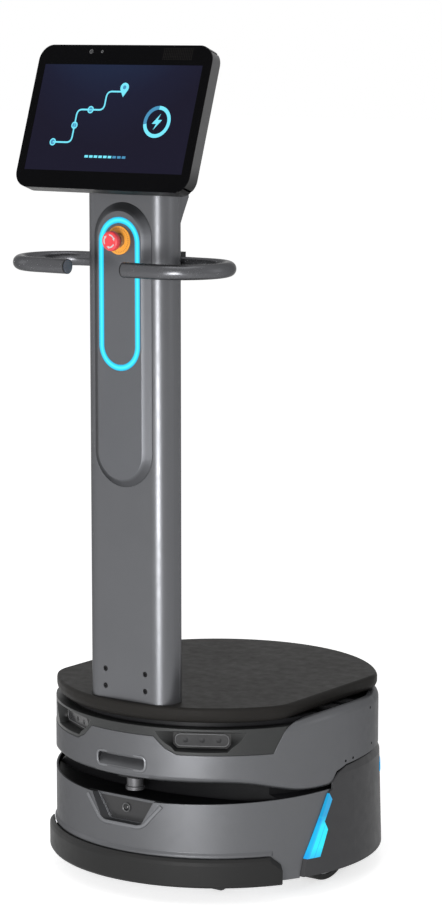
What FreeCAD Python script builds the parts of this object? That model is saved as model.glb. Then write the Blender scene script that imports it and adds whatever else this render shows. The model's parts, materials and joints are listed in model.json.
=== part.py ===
import FreeCAD, Part
import os
import re
import Sketcher
from FreeCAD import Rotation, Vector

# Autonomous delivery robot: a round wheeled base, a load deck, and a slim column
# with a stop button, a bent handlebar and a tilted touch display.
# Millimetres. +Z is up, the robot faces -Y, its left side is +X.
# The origin is on the floor, under the middle of the whole robot.

sizes = {
    # round base
    "centre_y": 27,
    "shell_radius": 252,
    "shell_wall": 3,
    "skirt_z": 31,
    "shell_height": 119,
    "rim_rise": 9.5,
    "seam": 0.5,
    "seam_foot_out": 57,
    "seam_low_out": 51.7,
    "seam_high_out": 8.8,
    # the mouth: a slot round the front for the laser scanner to look out of
    "mouth_height": 34,
    "mouth_side_height": 3.5,
    "mouth_bend": 180,
    "mouth_lip": 14,
    "lip_round": 9,
    # dark side and rear panels
    "panel_step": 6,
    "panel_stand": 2,
    "panel_flare": 4,
    "panel_chamfer": 9,
    # upper shell and its sensor band
    "upper_gap": 3,
    "band_rise": 42.5,
    "band_step": 26,
    "band_height": 40,
    "wedge_back": 60.5,
    "turn_back": 24.5,
    "band_wall": 20,
    "rim_over": 7,
    "rim_side_over": 5.5,
    "rim_width": 16,
    "rim_round": 11,
    "tray_drop": 8.5,
    "tray_sheet": 3,
    # depth cameras
    "camera_turn": 30,
    "camera_sunk": 17,
    "camera_width": 83,
    "camera_height": 21,
    "camera_deep": 22,
    # slot under the band
    "floor_sheet": 3,
    "scoop_width": 88,
    "scoop_rise": 14,
    "scoop_height": 20,
    "scoop_depth": 15,
    # front camera pod
    "pod_drop": 40,
    "pod_low_half": 36,
    "pod_top_half": 68,
    "pod_sunk": 17,
    "pod_rim": 5,
    "pod_inset": 2.5,
    "pod_round": 6,
    "lens_rise": 22.5,
    "lens_radius": 5,
    # bumper
    "bumper_stand": 11,
    "bumper_wall": 7.5,
    "bumper_low_z": 27,
    "bumper_top_z": 70,
    "bumper_turn": 57.3,
    "bumper_travel": 5,
    "guide_x": 60,
    "guide_z": 46,
    "guide_radius": 4,
    "guide_width": 20,
    "running_fit": 0.05,
    # side and rear lights
    "light_proud": 1.2,
    "light_rise": 29,
    "light_height": 94,
    "light_foot": 23.4,
    "tail_rise": 116,
    "tail_height": 13,
    # laser scanner
    "lidar_sunk": 39,
    "lidar_radius": 14.5,
    "lidar_head": 20,
    "lidar_rise": 7,
    "lidar_seat": 36,
    # chassis
    "plate_rise": 25,
    "plate_sheet": 5,
    "plate_inset": 14,
    "wheel_radius": 70,
    "wheel_width": 32,
    "wheel_inset": 58,
    "tyre_wall": 9,
    "axle_radius": 7,
    "axle_long": 56,
    "wheel_gap": 4,
    "ear_sheet": 8,
    "ear_height": 60,
    "ear_length": 80,
    "caster_x": 105,
    "caster_inset": 94,
    "caster_radius": 21,
    "caster_width": 18,
    "caster_trail": 16,
    "caster_drop": 8,
    "fork_sheet": 3,
    "pin_radius": 3,
    "post_x": 95,
    "post_y": 120,
    "post_radius": 9,
    "battery_width": 120,
    "battery_length": 170,
    "battery_height": 68,
    "board_width": 130,
    "board_length": 90,
    "board_height": 26,
    "contact_width": 14,
    "contact_height": 40,
    # load deck
    "deck_over": 0.5,
    "deck_thick": 24,
    "deck_inset": 2,
    "deck_side_inset": 37,
    "deck_corner": 60,
    "deck_under_round": 13,
    "deck_top_round": 5,
    "deck_socket": 6,
    "deck_fit": 0.5,
    "rail_x": 95,
    "rail_width": 40,
    "rail_inset": 87,
    # column
    "column_setback": 13,
    "column_width": 150,
    "column_depth": 46,
    "column_front_depth": 35,
    "column_corner": 25,
    "column_wall": 3,
    "screw_x": 37,
    "screw_low": 18,
    "screw_step": 26,
    "screw_radius": 4,
    "head_reach": 26,
    "head_low": 702,
    "column_cap": 60,
    "spine_width": 60,
    "spine_depth": 24,
    # control panel
    "panel_over": 42,
    "panel_long": 421,
    "panel_half": 52.5,
    "panel_proud": 9.5,
    "panel_bevel": 12.5,
    "ring_drop": 21,
    "ring_long": 226,
    "ring_half": 37.5,
    "ring_band": 9,
    "ring_deep": 3,
    # emergency stop
    "stop_drop": 55,
    "stop_plate_radius": 21,
    "stop_plate_thick": 1.5,
    "stop_collar_radius": 11,
    "stop_collar_long": 7,
    "stop_head_radius": 14.5,
    "stop_head_long": 11,
    "stop_stem_radius": 8,
    "stop_travel": 4,
    # handlebar
    "bar_drop": 37,
    "bar_radius": 11,
    "bar_wall": 2,
    "bar_reach": 66,
    "bar_bend": 65.85,
    "bar_bend_x": 109,
    "bar_end_x": 53,
    "plug_lip": 2,
    "clamp_x": 42,
    "clamp_width": 24,
    # display
    "screen_reach": 24.4,
    "screen_rise": 868,
    "screen_tilt": 18.9,
    "bezel_side": 14,
    "bezel_height": 28.25,
    "screen_corner": 24,
    "screen_thick": 28,
    "glass_thick": 2.5,
    "panel_wide": 286,
    "panel_tall": 161,
    "panel_drop": 1.7,
    "back_bevel": 6,
    "housing_wall": 6,
    "bracket_wide": 110,
    "bracket_sheet": 4,
    "bracket_tall": 54,
    "button_x": 25.5,
    "button_long": 22,
    "button_deep": 7,
    "button_proud": 1.6,
}

# Sizes that follow from the ones above, so that the robot keeps its shape when one changes.
derived = {
    "rim_front_z": "skirt_z + shell_height",
    "rim_side_z": "rim_front_z + rim_rise",
    "mouth_top_z": "rim_front_z + mouth_height",
    "mouth_side_z": "rim_side_z + mouth_side_height",
    "mouth_turn_front": "shell_radius - 74",
    "mouth_turn_rear": "shell_radius - 150",
    "mouth_end": "shell_radius - 202",
    "seam_foot": "mouth_end + seam_foot_out",
    "seam_low": "mouth_end + seam_low_out",
    "seam_high": "mouth_end + seam_high_out",
    "lip_inside": "shell_radius - mouth_lip",
    "rim_inside": "shell_radius - rim_width",
    "core_radius": "shell_radius - mouth_lip - 0.5",
    "core_front": "shell_radius - 67",
    "core_sweep": "5*shell_radius/3",
    "panel_top_z": "mouth_top_z + panel_step",
    "panel_radius": "shell_radius + panel_stand",
    "panel_foot_radius": "panel_radius + panel_flare",
    "rear_seam": "shell_radius - 59",
    "band_low_z": "mouth_top_z + band_rise",
    "band_mid_z": "band_low_z + band_step",
    "band_top_z": "band_low_z + band_height",
    "band_end_low": "shell_radius - 46",
    "band_inside": "shell_radius - band_wall - 1",
    "rim_rear_z": "band_top_z + rim_over",
    "rim_crown": "rim_over + rim_side_over",
    "rim_sweep": "(0.27*shell_radius*shell_radius/rim_crown + rim_crown)/2",
    "rim_split": "0.346*shell_radius",
    "tray_z": "rim_rear_z - tray_drop",
    "camera_face": "shell_radius - camera_sunk",
    "camera_x": "camera_face*sin(camera_turn)",
    "band_wedge": "camera_x - wedge_back",
    "band_turn": "camera_x - turn_back",
    "camera_z": "(band_low_z + band_top_z)/2",
    "scoop_low_z": "mouth_top_z + scoop_rise",
    "scoop_top_z": "scoop_low_z + scoop_height",
    "pod_face": "shell_radius - pod_sunk",
    "pod_low_z": "rim_front_z - pod_drop",
    "lens_z": "pod_low_z + lens_rise",
    "bumper_radius": "shell_radius + bumper_stand",
    "bumper_inside": "bumper_radius - bumper_wall",
    "bumper_end": "bumper_radius - 41",
    "pocket_half": "shell_radius - 52",
    "pocket_floor": "bumper_inside - bumper_travel - 1.5",
    "pocket_top": "bumper_top_z + 1",
    "light_low_z": "skirt_z + light_rise",
    "light_top_z": "light_low_z + light_height",
    "tail_z": "skirt_z + tail_rise",
    "tail_front": "rear_seam - 74",
    "tail_back": "rear_seam - 9",
    "lidar_y": "shell_radius - lidar_sunk",
    "lidar_low_z": "rim_front_z + lidar_rise",
    "plate_z": "skirt_z + plate_rise",
    "plate_top": "plate_z + plate_sheet",
    "plate_radius": "shell_radius - plate_inset",
    "wheel_x": "shell_radius - wheel_inset",
    "caster_y": "shell_radius - caster_inset",
    "deck_low_z": "rim_rear_z + deck_over",
    "deck_top_z": "deck_low_z + deck_thick",
    "deck_radius": "shell_radius - deck_inset",
    "deck_half": "shell_radius - deck_side_inset",
    "rail_length": "2*(shell_radius - rail_inset)",
    "column_foot_z": "deck_top_z - deck_socket",
    "column_front": "centre_y - deck_radius + column_setback",
    "column_back": "column_front + column_depth",
    "column_middle": "column_front + column_depth/2",
    "column_seam": "column_front + column_front_depth",
    "head_low_z": "deck_top_z + head_low",
    "panel_high_z": "head_low_z + panel_over",
    "panel_low_z": "panel_high_z - panel_long",
    "panel_face": "column_front - panel_proud",
    "ring_high_z": "panel_high_z - ring_drop",
    "ring_low_z": "ring_high_z - ring_long",
    "stop_z": "panel_high_z - stop_drop",
    "bar_z": "stop_z - bar_drop",
    "bar_front": "column_front - bar_reach",
    "bar_back": "bar_front + 2*bar_bend",
    "screen_z": "deck_top_z + screen_rise",
    "screen_width": "panel_wide + 2*bezel_side",
    "screen_height": "panel_tall + 2*bezel_height",
    "reach": "2*panel_foot_radius",
}

os.makedirs("parts", exist_ok=True)
doc = FreeCAD.newDocument("DeliveryRobot")
sheet = doc.addObject("Spreadsheet::Sheet", "Sizes")
for row, (alias, value) in enumerate(sizes.items(), start=1):
    sheet.set(f"A{row}", alias)
    sheet.set(f"B{row}", str(value))
    sheet.setAlias(f"B{row}", alias)
doc.recompute()

nodes = {}
places = {"x": "Placement.Base.x", "y": "Placement.Base.y", "z": "Placement.Base.z"}
alias_word = re.compile(r"[a-z_]+")


def written(word):
    """One word of a rule: a derived size is written out, a sheet size gets the sheet's name."""
    name = word.group()
    if name in derived:
        return f"({linked(derived[name])})"
    return "Sizes." + name if name in sizes else name


def linked(rule):
    """A rule as the sheet's own names, fit for an expression."""
    return alias_word.sub(written, str(rule))


def size(rule):
    """What a rule comes to, in millimetres."""
    return float(sheet.evalExpression(linked(rule)))


def bind(thing, **rules):
    for name, rule in rules.items():
        thing.setExpression(places.get(name, name), linked(rule))
    return thing


def new(kind, name):
    return doc.addObject(kind, name)


def node(name, thing):
    thing.Label = name
    nodes[name] = thing
    return thing


# ---------------------------------------------------------------- solids and booleans


def block(name, width, depth, height, x, y, z):
    """A box centred on x and y that stands on z."""
    box = new("Part::Box", name)
    return bind(box, Length=width, Width=depth, Height=height,
                x=f"{x} - ({width})/2", y=f"{y} - ({depth})/2", z=z)


def rod(name, radius, length, x, y, z, axis="z"):
    """A cylinder that starts at x, y, z and runs along an axis."""
    turns = {"x": Rotation(Vector(0, 1, 0), 90), "y": Rotation(Vector(1, 0, 0), -90), "z": Rotation()}
    cylinder = new("Part::Cylinder", name)
    cylinder.Placement.Rotation = turns[axis]
    return bind(cylinder, Radius=radius, Height=length, x=x, y=y, z=z)


def cut(name, base, *tools):
    result = new("Part::Cut", name)
    result.Base = base
    result.Tool = tools[0] if len(tools) == 1 else join(name + "_tools", *tools)
    return result


def join(name, *parts):
    result = new("Part::MultiFuse", name)
    result.Shapes = list(parts)
    result.Refine = True
    return result


def overlap(name, *parts):
    result = new("Part::MultiCommon", name)
    result.Shapes = list(parts)
    return result


def group(name, *parts):
    result = new("Part::Compound", name)
    result.Links = list(parts)
    return result


def mirror(name, source):
    result = new("Part::Mirroring", name)
    result.Source = source
    result.Normal = (1, 0, 0)
    return result


def picked(thing, wanted):
    """The numbers of the edges that a test wants."""
    doc.recompute()
    return [number for number, edge in enumerate(thing.Shape.Edges, start=1) if wanted(edge)]


def dressed(kind, name, base, first, second, wanted):
    result = new(kind, name)
    result.Base = base
    result.Edges = [(number, size(first), size(second)) for number in picked(base, wanted)]
    return result


def rounded(name, base, radius, wanted):
    return dressed("Part::Fillet", name, base, radius, radius, wanted)


def bevelled(name, base, first, second, wanted):
    return dressed("Part::Chamfer", name, base, first, second, wanted)


def runs_along(edge, axis):
    """Whether a straight edge is parallel to an axis."""
    if not isinstance(edge.Curve, Part.Line):
        return False
    direction = edge.tangentAt(edge.FirstParameter)
    return abs(abs(direction.dot(axis)) - 1) < 1e-6


def near(value, goal, slack=0.05):
    return abs(value - goal) < slack


# ---------------------------------------------------------------- sketched bodies


def outline(body, role, corners, offset="0"):
    """A closed sketch whose corners are held by their two distances from the origin."""
    plane = next(item for item in body.Origin.OriginFeatures if item.Role == role)
    sketch = body.newObject("Sketcher::SketchObject", body.Name + "_outline")
    sketch.AttachmentSupport = [(plane, "")]
    sketch.MapMode = "FlatFace"
    sketch.setExpression("AttachmentOffset.Base.z", linked(offset))
    spots = [Vector(size(across), size(up), 0) for across, up in corners]
    count = len(spots)
    for place, spot in enumerate(spots):
        sketch.addGeometry(Part.LineSegment(spot, spots[(place + 1) % count]), False)
    for place in range(count):
        sketch.addConstraint(Sketcher.Constraint("Coincident", place, 2, (place + 1) % count, 1))
    for place, rules in enumerate(corners):
        for kind, rule in zip(("DistanceX", "DistanceY"), rules):
            number = sketch.addConstraint(Sketcher.Constraint(kind, -1, 1, place, 1, size(rule)))
            sketch.setExpression(f"Constraints[{number}]", linked(rule))
    return sketch


def pie(name, turn):
    """A tall slice of a disc, so many degrees to each side of straight ahead."""
    piece = rod(name, "reach", "rim_rear_z", "0", "centre_y", "0")
    piece.Placement.Rotation = Rotation(Z_AXIS, -90 - size(turn))
    return bind(piece, Angle=f"2*{turn}")


def turned(name, corners, x="0", y="centre_y", z="0"):
    """A body of revolution about an upright axis; corners are radius and height."""
    body = bind(new("PartDesign::Body", name), x=x, y=y, z=z)
    turn = body.newObject("PartDesign::Revolution", name + "_turn")
    turn.Profile = outline(body, "XZ_Plane", corners)
    turn.ReferenceAxis = (turn.Profile[0], ["V_Axis"])
    return body


def padded(name, role, corners, length, offset="0", both=False, back=False, **where):
    """A body made by drawing out a flat outline."""
    body = bind(new("PartDesign::Body", name), **where)
    pad = body.newObject("PartDesign::Pad", name + "_pad")
    pad.Profile = outline(body, role, corners, offset)
    pad.SideType = "Symmetric" if both else "One side"
    pad.Reversed = back
    return bind_last(body, pad, Length=length)


def bind_last(body, feature, **rules):
    bind(feature, **rules)
    body.Tip = feature
    return body


def softened(body, radius, wanted):
    """Rounds the wanted edges of a body's last feature."""
    doc.recompute()
    base = body.Tip
    names = [f"Edge{number}" for number, edge in enumerate(base.Shape.Edges, start=1) if wanted(edge)]
    round_off = body.newObject("PartDesign::Fillet", body.Name + "_round")
    round_off.Base = (base, names)
    return bind_last(body, round_off, Radius=radius)


def chamfered(body, width, wanted):
    """Bevels the wanted edges of a body's last feature."""
    doc.recompute()
    base = body.Tip
    names = [f"Edge{number}" for number, edge in enumerate(base.Shape.Edges, start=1) if wanted(edge)]
    bevel = body.newObject("PartDesign::Chamfer", body.Name + "_bevel")
    bevel.Base = (base, names)
    return bind_last(body, bevel, Size=width)


def lofted(name, role, first, first_offset, last, last_offset, **where):
    """A body that runs straight from one outline to another."""
    body = bind(new("PartDesign::Body", name), **where)
    loft = body.newObject("PartDesign::AdditiveLoft", name + "_loft")
    loft.Profile = outline(body, role, first, first_offset)
    loft.Sections = [outline(body, role, last, last_offset)]
    loft.Ruled = True
    body.Tip = loft
    return body


def both_sides(corners):
    """An outline from its right half, mirrored about the upright axis."""
    return corners + [(f"-({across})", up) for across, up in reversed(corners)]


X_AXIS = Vector(1, 0, 0)
Y_AXIS = Vector(0, 1, 0)
Z_AXIS = Vector(0, 0, 1)
# ---------------------------------------------------------------- chassis

wheel_well = "wheel_width + 2*wheel_gap"
plate_disc = rod("plate_disc", "plate_radius", "plate_sheet", "0", "centre_y", "plate_z")
wheel_wells = [
    block(f"wheel_well_{side}", wheel_well, "2*(wheel_radius + wheel_gap)", "4*plate_sheet",
          f"{sign}*wheel_x", "centre_y", "plate_z - 2*plate_sheet")
    for side, sign in (("left", 1), ("right", -1))]
node("base_plate", cut("base_plate", plate_disc, *wheel_wells))

corners4 = [(side, end) for side in (1, -1) for end in (-1, 1)]
node("deck_posts", group("deck_posts", *[
    rod(f"post_{number}", "post_radius", "tray_z - tray_sheet - plate_top",
        f"{side}*post_x", f"centre_y + {end}*post_y", "plate_top")
    for number, (side, end) in enumerate(corners4)]))

axles = []
for side, sign in (("left", 1), ("right", -1)):
    # steel angle that carries a fixed axle, inboard of the wheel
    inner = "(wheel_x - wheel_width/2 - wheel_gap - ear_sheet/2)"
    foot = block(f"bracket_foot_{side}", "5*ear_sheet", "ear_length", "ear_sheet/2",
                 f"{sign}*({inner} - 3*ear_sheet)", "centre_y", "plate_top")
    ear = block(f"bracket_ear_{side}", "ear_sheet", "ear_length", "ear_height",
                f"{sign}*{inner}", "centre_y", "plate_top")
    eye = rod(f"bracket_eye_{side}", "axle_radius", "2*axle_long",
              f"{sign}*wheel_x - axle_long", "centre_y", "wheel_radius", "x")
    node(f"axle_bracket_{side}", cut(f"axle_bracket_{side}", join(f"bracket_{side}", foot, ear), eye))
    axles.append(rod(f"drive_axle_{side}", "axle_radius", "axle_long",
                     f"{sign}*wheel_x - axle_long/2", "centre_y", "wheel_radius", "x"))
    hub = rod(f"hub_disc_{side}", "wheel_radius - tyre_wall", "wheel_width - 4",
              f"{sign}*wheel_x - wheel_width/2 + 2", "centre_y", "wheel_radius", "x")
    bore = rod(f"hub_bore_{side}", "axle_radius + running_fit", "2*wheel_width",
               f"{sign}*wheel_x - wheel_width", "centre_y", "wheel_radius", "x")
    node(f"drive_hub_{side}", cut(f"drive_hub_{side}", hub, bore))
    tread = rod(f"tread_{side}", "wheel_radius", "wheel_width",
                f"{sign}*wheel_x - wheel_width/2", "centre_y", "wheel_radius", "x")
    tread = rounded(f"tread_round_{side}", tread, "3", lambda edge: edge.Closed)
    hole = rod(f"tyre_hole_{side}", "wheel_radius - tyre_wall", "2*wheel_width",
               f"{sign}*wheel_x - wheel_width", "centre_y", "wheel_radius", "x")
    node(f"drive_tyre_{side}", cut(f"drive_tyre_{side}", tread, hole))

node("drive_axles", group("drive_axles", *axles))

caster_names = {(1, -1): "front_left", (-1, -1): "front_right", (1, 1): "rear_left", (-1, 1): "rear_right"}
cheek = "(caster_width/2 + fork_sheet/2 + 1)"
for (side, end), name in caster_names.items():
    x, y = f"{side}*caster_x", f"centre_y + {end}*caster_y"
    axle_y = f"{y} + caster_trail"
    crown = block(f"crown_{name}", f"2*{cheek} + fork_sheet", "caster_trail + 10", "fork_sheet",
                  x, f"{y} + 5", "plate_z - caster_drop")
    stem = rod(f"stem_{name}", "2.5*pin_radius", "caster_drop - fork_sheet - 0.3", x, y,
               "plate_z - caster_drop + fork_sheet")
    cheeks = [block(f"cheek_{name}_{place}", "fork_sheet", "7*pin_radius",
                    "plate_z - caster_drop - caster_radius + 3*pin_radius",
                    f"{x} + {place}*{cheek}", axle_y, "caster_radius - 3*pin_radius") for place in (-1, 1)]
    pin = rod(f"pin_{name}", "pin_radius", f"2*{cheek} + fork_sheet",
              f"{x} - {cheek} - fork_sheet/2", axle_y, "caster_radius", "x")
    node(f"caster_fork_{name}", join(f"caster_fork_{name}", crown, stem, *cheeks, pin))
    roller = rod(f"roller_{name}", "caster_radius", "caster_width",
                 f"{x} - caster_width/2", axle_y, "caster_radius", "x")
    roller = rounded(f"roller_round_{name}", roller, "3", lambda edge: edge.Closed)
    eye = rod(f"roller_eye_{name}", "pin_radius + running_fit", "2*caster_width",
              f"{x} - caster_width", axle_y, "caster_radius", "x")
    node(f"caster_wheel_{name}", cut(f"caster_wheel_{name}", roller, eye))

node("battery_pack", block("battery_pack", "battery_width", "battery_length", "battery_height",
                           "0", "centre_y + battery_length/2 + 5", "plate_top"))
node("main_board", block("main_board", "board_width", "board_length", "board_height",
                         "0", "centre_y - board_length/2 - 25", "plate_top"))

# ---------------------------------------------------------------- lower body

def shell_outline():
    """Side view of the front shell, from the middle of the base."""
    return [("-shell_radius - 20", "skirt_z"), ("-seam_foot", "skirt_z"), ("-seam_low", "light_low_z"),
            ("-seam_high", "light_top_z"), ("-mouth_end - upper_gap", "rim_side_z"),
            ("-shell_radius - 20", "rim_front_z")]


lower_ring = turned("lower_ring", [
    ("shell_radius", "skirt_z"), ("shell_radius", "panel_top_z"),
    ("shell_radius - shell_wall", "panel_top_z"),
    ("shell_radius - shell_wall", "pocket_top + 8"),
    ("pocket_floor - shell_wall", "pocket_top + 3"),
    ("pocket_floor - shell_wall", "skirt_z")])
lip_ring = turned("lip_ring", [
    ("shell_radius - 1", "pocket_top"), ("shell_radius + 2.5", "pocket_top"),
    ("shell_radius + 2.5", "pocket_top + 3"), ("shell_radius - 1", "pocket_top + 9")])
lip_span = padded("lip_span", "XZ_Plane", both_sides([
    ("pocket_half + 6", "skirt_z"), ("pocket_half + 6", "rim_front_z")]), "reach", y="centre_y")
pod_block = overlap(
    "pod_block", block("pod_box", "2*pod_top_half + 10", "30", "rim_front_z - pod_low_z + 6",
                       "0", "centre_y - pod_face - 11", "pod_low_z - 6"),
    rod("pod_round", "shell_radius", "panel_top_z", "0", "centre_y", "0"))
shell_blank = join("shell_blank", lower_ring, overlap("lip", lip_ring, lip_span), pod_block)

pocket_ring = turned("pocket_ring", [
    ("pocket_floor", "0"), ("bumper_radius + 20", "0"),
    ("bumper_radius + 20", "pocket_top"), ("pocket_floor", "pocket_top")])
pocket = overlap("pocket", pocket_ring, block(
    "pocket_span", "2*pocket_half", "reach", "pocket_top", "0", "centre_y - reach/2", "0"))


def pod_outline(inset):
    return both_sides([
        (f"pod_low_half - {inset}", f"pod_low_z + ({inset})/3"),
        (f"pod_top_half - {inset} + 3", "rim_front_z + 20")])


pod_corner = size("pod_low_z + 8")
pod_mouth = lofted("pod_mouth", "XZ_Plane", pod_outline("pod_rim"), "pod_face",
                   pod_outline("-2"), "pod_face + 25", y="centre_y")
pod_mouth = softened(pod_mouth, "pod_round", lambda edge: (
    edge.BoundBox.YLength > 15 and edge.BoundBox.ZMax < pod_corner))


def pod_pane(name, gap, thick, offset):
    """The shape of the front camera's window, smaller by a gap."""
    pane = padded(name, "XZ_Plane", both_sides([
        (f"pod_low_half - pod_rim - pod_inset - {gap}", f"pod_low_z + pod_inset + 0.5 + {gap}"),
        (f"pod_top_half - 3.3*pod_rim - pod_inset - {gap}", f"rim_front_z - 4 - {gap}"),
    ]), thick, offset, y="centre_y")
    return softened(pane, f"pod_round - {gap}", lambda edge: (
        runs_along(edge, Y_AXIS) and edge.BoundBox.ZMax < pod_corner))


pod_window = pod_pane("pod_window", "0", "40", "pod_face - 20")
guide_holes = [rod(f"guide_hole_{place}", "2*guide_radius + 3", "40", f"{place}*guide_x",
                   "centre_y - bumper_radius", "guide_z", "y") for place in (-1, 1)]
shell_span = padded("shell_span", "YZ_Plane", shell_outline(), "reach", both=True, y="centre_y")
node("lower_front_shell", cut(
    "lower_front_shell", overlap("shell_trimmed", shell_blank, shell_span),
    pocket, pod_mouth, pod_window, *guide_holes))

node("front_camera_cover", pod_pane("front_camera_cover", "0.3", "4", "pod_face - 5"))
node("front_camera_lens", rod("front_camera_lens", "lens_radius", "2", "0",
                              "centre_y - pod_face - 1", "lens_z", "y"))

panel_profile = [
    ("panel_foot_radius", "skirt_z + 2"), ("panel_radius", "panel_top_z - panel_chamfer - 2"),
    ("panel_radius - panel_chamfer/2", "panel_top_z"),
    ("panel_radius - panel_chamfer/2 - shell_wall", "panel_top_z"),
    ("panel_radius - shell_wall", "panel_top_z - panel_chamfer - 2"),
    ("panel_radius - shell_wall", "skirt_z + 2")]
side_outline = [
    ("-seam_foot + seam", "skirt_z"), ("-seam_low + seam", "light_low_z"),
    ("-seam_high + seam", "light_top_z"), ("-mouth_end + seam", "rim_side_z"),
    ("-mouth_end + 1", "rim_side_z + 10"), ("-mouth_end + 14", "panel_top_z - 9"),
    ("-mouth_end + 36", "panel_top_z - 2"), ("-mouth_end + 80", "panel_top_z"), ("rear_seam", "panel_top_z"),
    ("rear_seam", "skirt_z")]


def light_outline(gap):
    """Side view of the slanted light on the seam."""
    return [(f"-seam_low + seam - {gap}", f"light_low_z - {gap}"),
            (f"-seam_low + light_foot + {gap}", f"light_low_z - {gap}"),
            (f"-seam_low + 39 + {gap}", "light_low_z + 0.42*light_height"),
            (f"-seam_low + 33 + {gap}", "light_low_z + 0.56*light_height"),
            (f"-seam_high + 6 + {gap}", "light_top_z - 10"),
            (f"-seam_high + seam - {gap}", f"light_top_z + {gap}")]


def rear_light_outline(gap):
    return [(f"tail_front - {gap}", f"tail_z - {gap}"), (f"tail_back + {gap}", f"tail_z - {gap}"),
            (f"tail_back + {gap}", f"tail_z + tail_height + {gap}"),
            (f"tail_front + 7 - {gap}", f"tail_z + tail_height + {gap}")]


def light_ring_section():
    return [("panel_radius - shell_wall + 0.3", "skirt_z"), ("panel_foot_radius + light_proud", "skirt_z"),
            ("panel_radius + light_proud", "panel_top_z - panel_chamfer - 2"),
            ("panel_radius - shell_wall + 0.3", "panel_top_z - panel_chamfer - 2")]


side_ring = turned("side_ring", panel_profile)
light_stock = turned("light_stock", light_ring_section())
side_span = padded("side_span", "YZ_Plane", side_outline, "reach", y="centre_y")
light_well = padded("light_well", "YZ_Plane", light_outline("0.2"), "reach", y="centre_y")
light_span = padded("light_span", "YZ_Plane", light_outline("0"), "reach", y="centre_y")
rear_well = padded("rear_well", "YZ_Plane", rear_light_outline("0.2"), "reach", y="centre_y")
rear_span = padded("rear_span", "YZ_Plane", rear_light_outline("0"), "reach", y="centre_y")
left_panel = node("side_panel_left", cut(
    "side_panel_left", overlap("panel_trimmed", side_ring, side_span), light_well, rear_well))
node("side_panel_right", mirror("side_panel_right", left_panel))
left_light = node("side_light_left", overlap("side_light_left", light_stock, light_span))
node("side_light_right", mirror("side_light_right", left_light))
left_tail = overlap("rear_light_left", light_stock, rear_span)
node("rear_lights", group("rear_lights", left_tail, mirror("rear_light_right", left_tail)))

rear_outline = [("rear_seam + seam", "skirt_z"), ("rear_seam + seam", "panel_top_z"),
                ("reach", "panel_top_z"), ("reach", "skirt_z")]
rear_span_panel = padded("rear_span_panel", "YZ_Plane", rear_outline, "reach", both=True, y="centre_y")
node("rear_panel", overlap("rear_panel", side_ring, rear_span_panel))
node("charge_contacts", group("charge_contacts", *[
    block(f"contact_{place}", "contact_width", "shell_wall", "contact_height",
          f"{place}*1.6*contact_width", "centre_y + panel_foot_radius + 0.5", "skirt_z + 24")
    for place in (-1, 1)]))

core_stock = turned("core_stock", [
    ("0", "rim_front_z - 4"), ("shell_radius - shell_wall - 0.5", "rim_front_z - 4"),
    ("shell_radius - shell_wall - 0.5", "rim_front_z - 1"), ("core_radius", "mouth_side_z - 2"),
    ("core_radius", "mouth_top_z"), ("0", "mouth_top_z")])
core_sweep = rod("core_sweep", "core_sweep", "panel_top_z", "0",
                 "centre_y - core_front + core_sweep", "rim_front_z")
core_disc = rod("core_disc", "core_radius + 20", "rim_front_z", "0", "centre_y", "0")
core_hollow = rod("core_hollow", "core_front - 20", "panel_top_z", "0", "centre_y", "rim_front_z - 1")
pod_room = block("pod_room", "2*pod_top_half + 11", "40", "60", "0",
                 "centre_y - pod_face + 4.5 - 20", "pod_low_z")
post_room = [rod(f"post_room_{number}", "post_radius + 0.3", "tray_z", f"{side}*post_x",
                 f"centre_y + {end}*post_y", "0") for number, (side, end) in enumerate(corners4)]
node("waist_core", cut("waist_core", overlap(
    "core_trimmed", core_stock, join("core_limits", core_sweep, core_disc)),
    core_hollow, pod_room, *post_room))

# ---------------------------------------------------------------- upper body

upper_ring = turned("upper_ring", [
    ("lip_inside", "rim_front_z"), ("shell_radius", "rim_front_z"), ("shell_radius", "deck_top_z"),
    ("rim_inside", "deck_top_z"), ("rim_inside", "rim_rear_z - rim_width"),
    ("shell_radius - shell_wall", "rim_rear_z - 2*rim_width"),
    ("shell_radius - shell_wall", "panel_top_z + 12"), ("lip_inside", "panel_top_z + 12")])
upper_below = padded("upper_below", "YZ_Plane", [
    ("-shell_radius - 30", "0"), ("-shell_radius - 30", "mouth_top_z"),
    ("-mouth_turn_front", "mouth_top_z"), ("-mouth_turn_rear", "mouth_side_z"),
    ("-mouth_end - upper_gap", "mouth_side_z"),
    ("-mouth_end + 11", "panel_top_z - 9 + upper_gap"),
    ("-mouth_end + 34", "panel_top_z - 2 + upper_gap"), ("-mouth_end + 80", "panel_top_z + upper_gap"),
    ("shell_radius + 30", "panel_top_z + upper_gap"), ("shell_radius + 30", "0")],
    "reach", both=True, y="centre_y")
mouth_start = size("-shell_radius")
mouth_stop = size("-mouth_end - upper_gap - 1")
upper_below = softened(upper_below, "mouth_bend", lambda edge: (
    runs_along(edge, X_AXIS) and mouth_start < edge.BoundBox.YMin < mouth_stop))
cover_ring = turned("cover_ring", [
    ("band_inside - 12", "tray_z"), ("band_inside - 0.5", "tray_z"),
    ("band_inside - 0.5", "rim_rear_z - 0.3"), ("band_inside - 12", "rim_rear_z - 0.3")])
node("shoulder_cover", overlap("shoulder_cover", cover_ring, block(
    "cover_span", "reach", "reach/2", "deck_top_z", "0", "centre_y - mouth_end - reach/4", "0")))


def band_outline(gap):
    """Front view of the dark sensor band: low at the cameras, high between them."""
    return both_sides([
        (f"band_wedge + ({gap})", f"band_mid_z + ({gap})"),
        (f"band_wedge + 18 + ({gap})", f"band_low_z + 9 + ({gap})"),
        (f"band_turn + ({gap})", f"band_low_z + ({gap})"),
        (f"band_end_low - ({gap})", f"band_low_z + ({gap})"),
        (f"band_end_low + 0.3*(deck_top_z - band_low_z) - ({gap})", "deck_top_z"),
    ])


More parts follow.
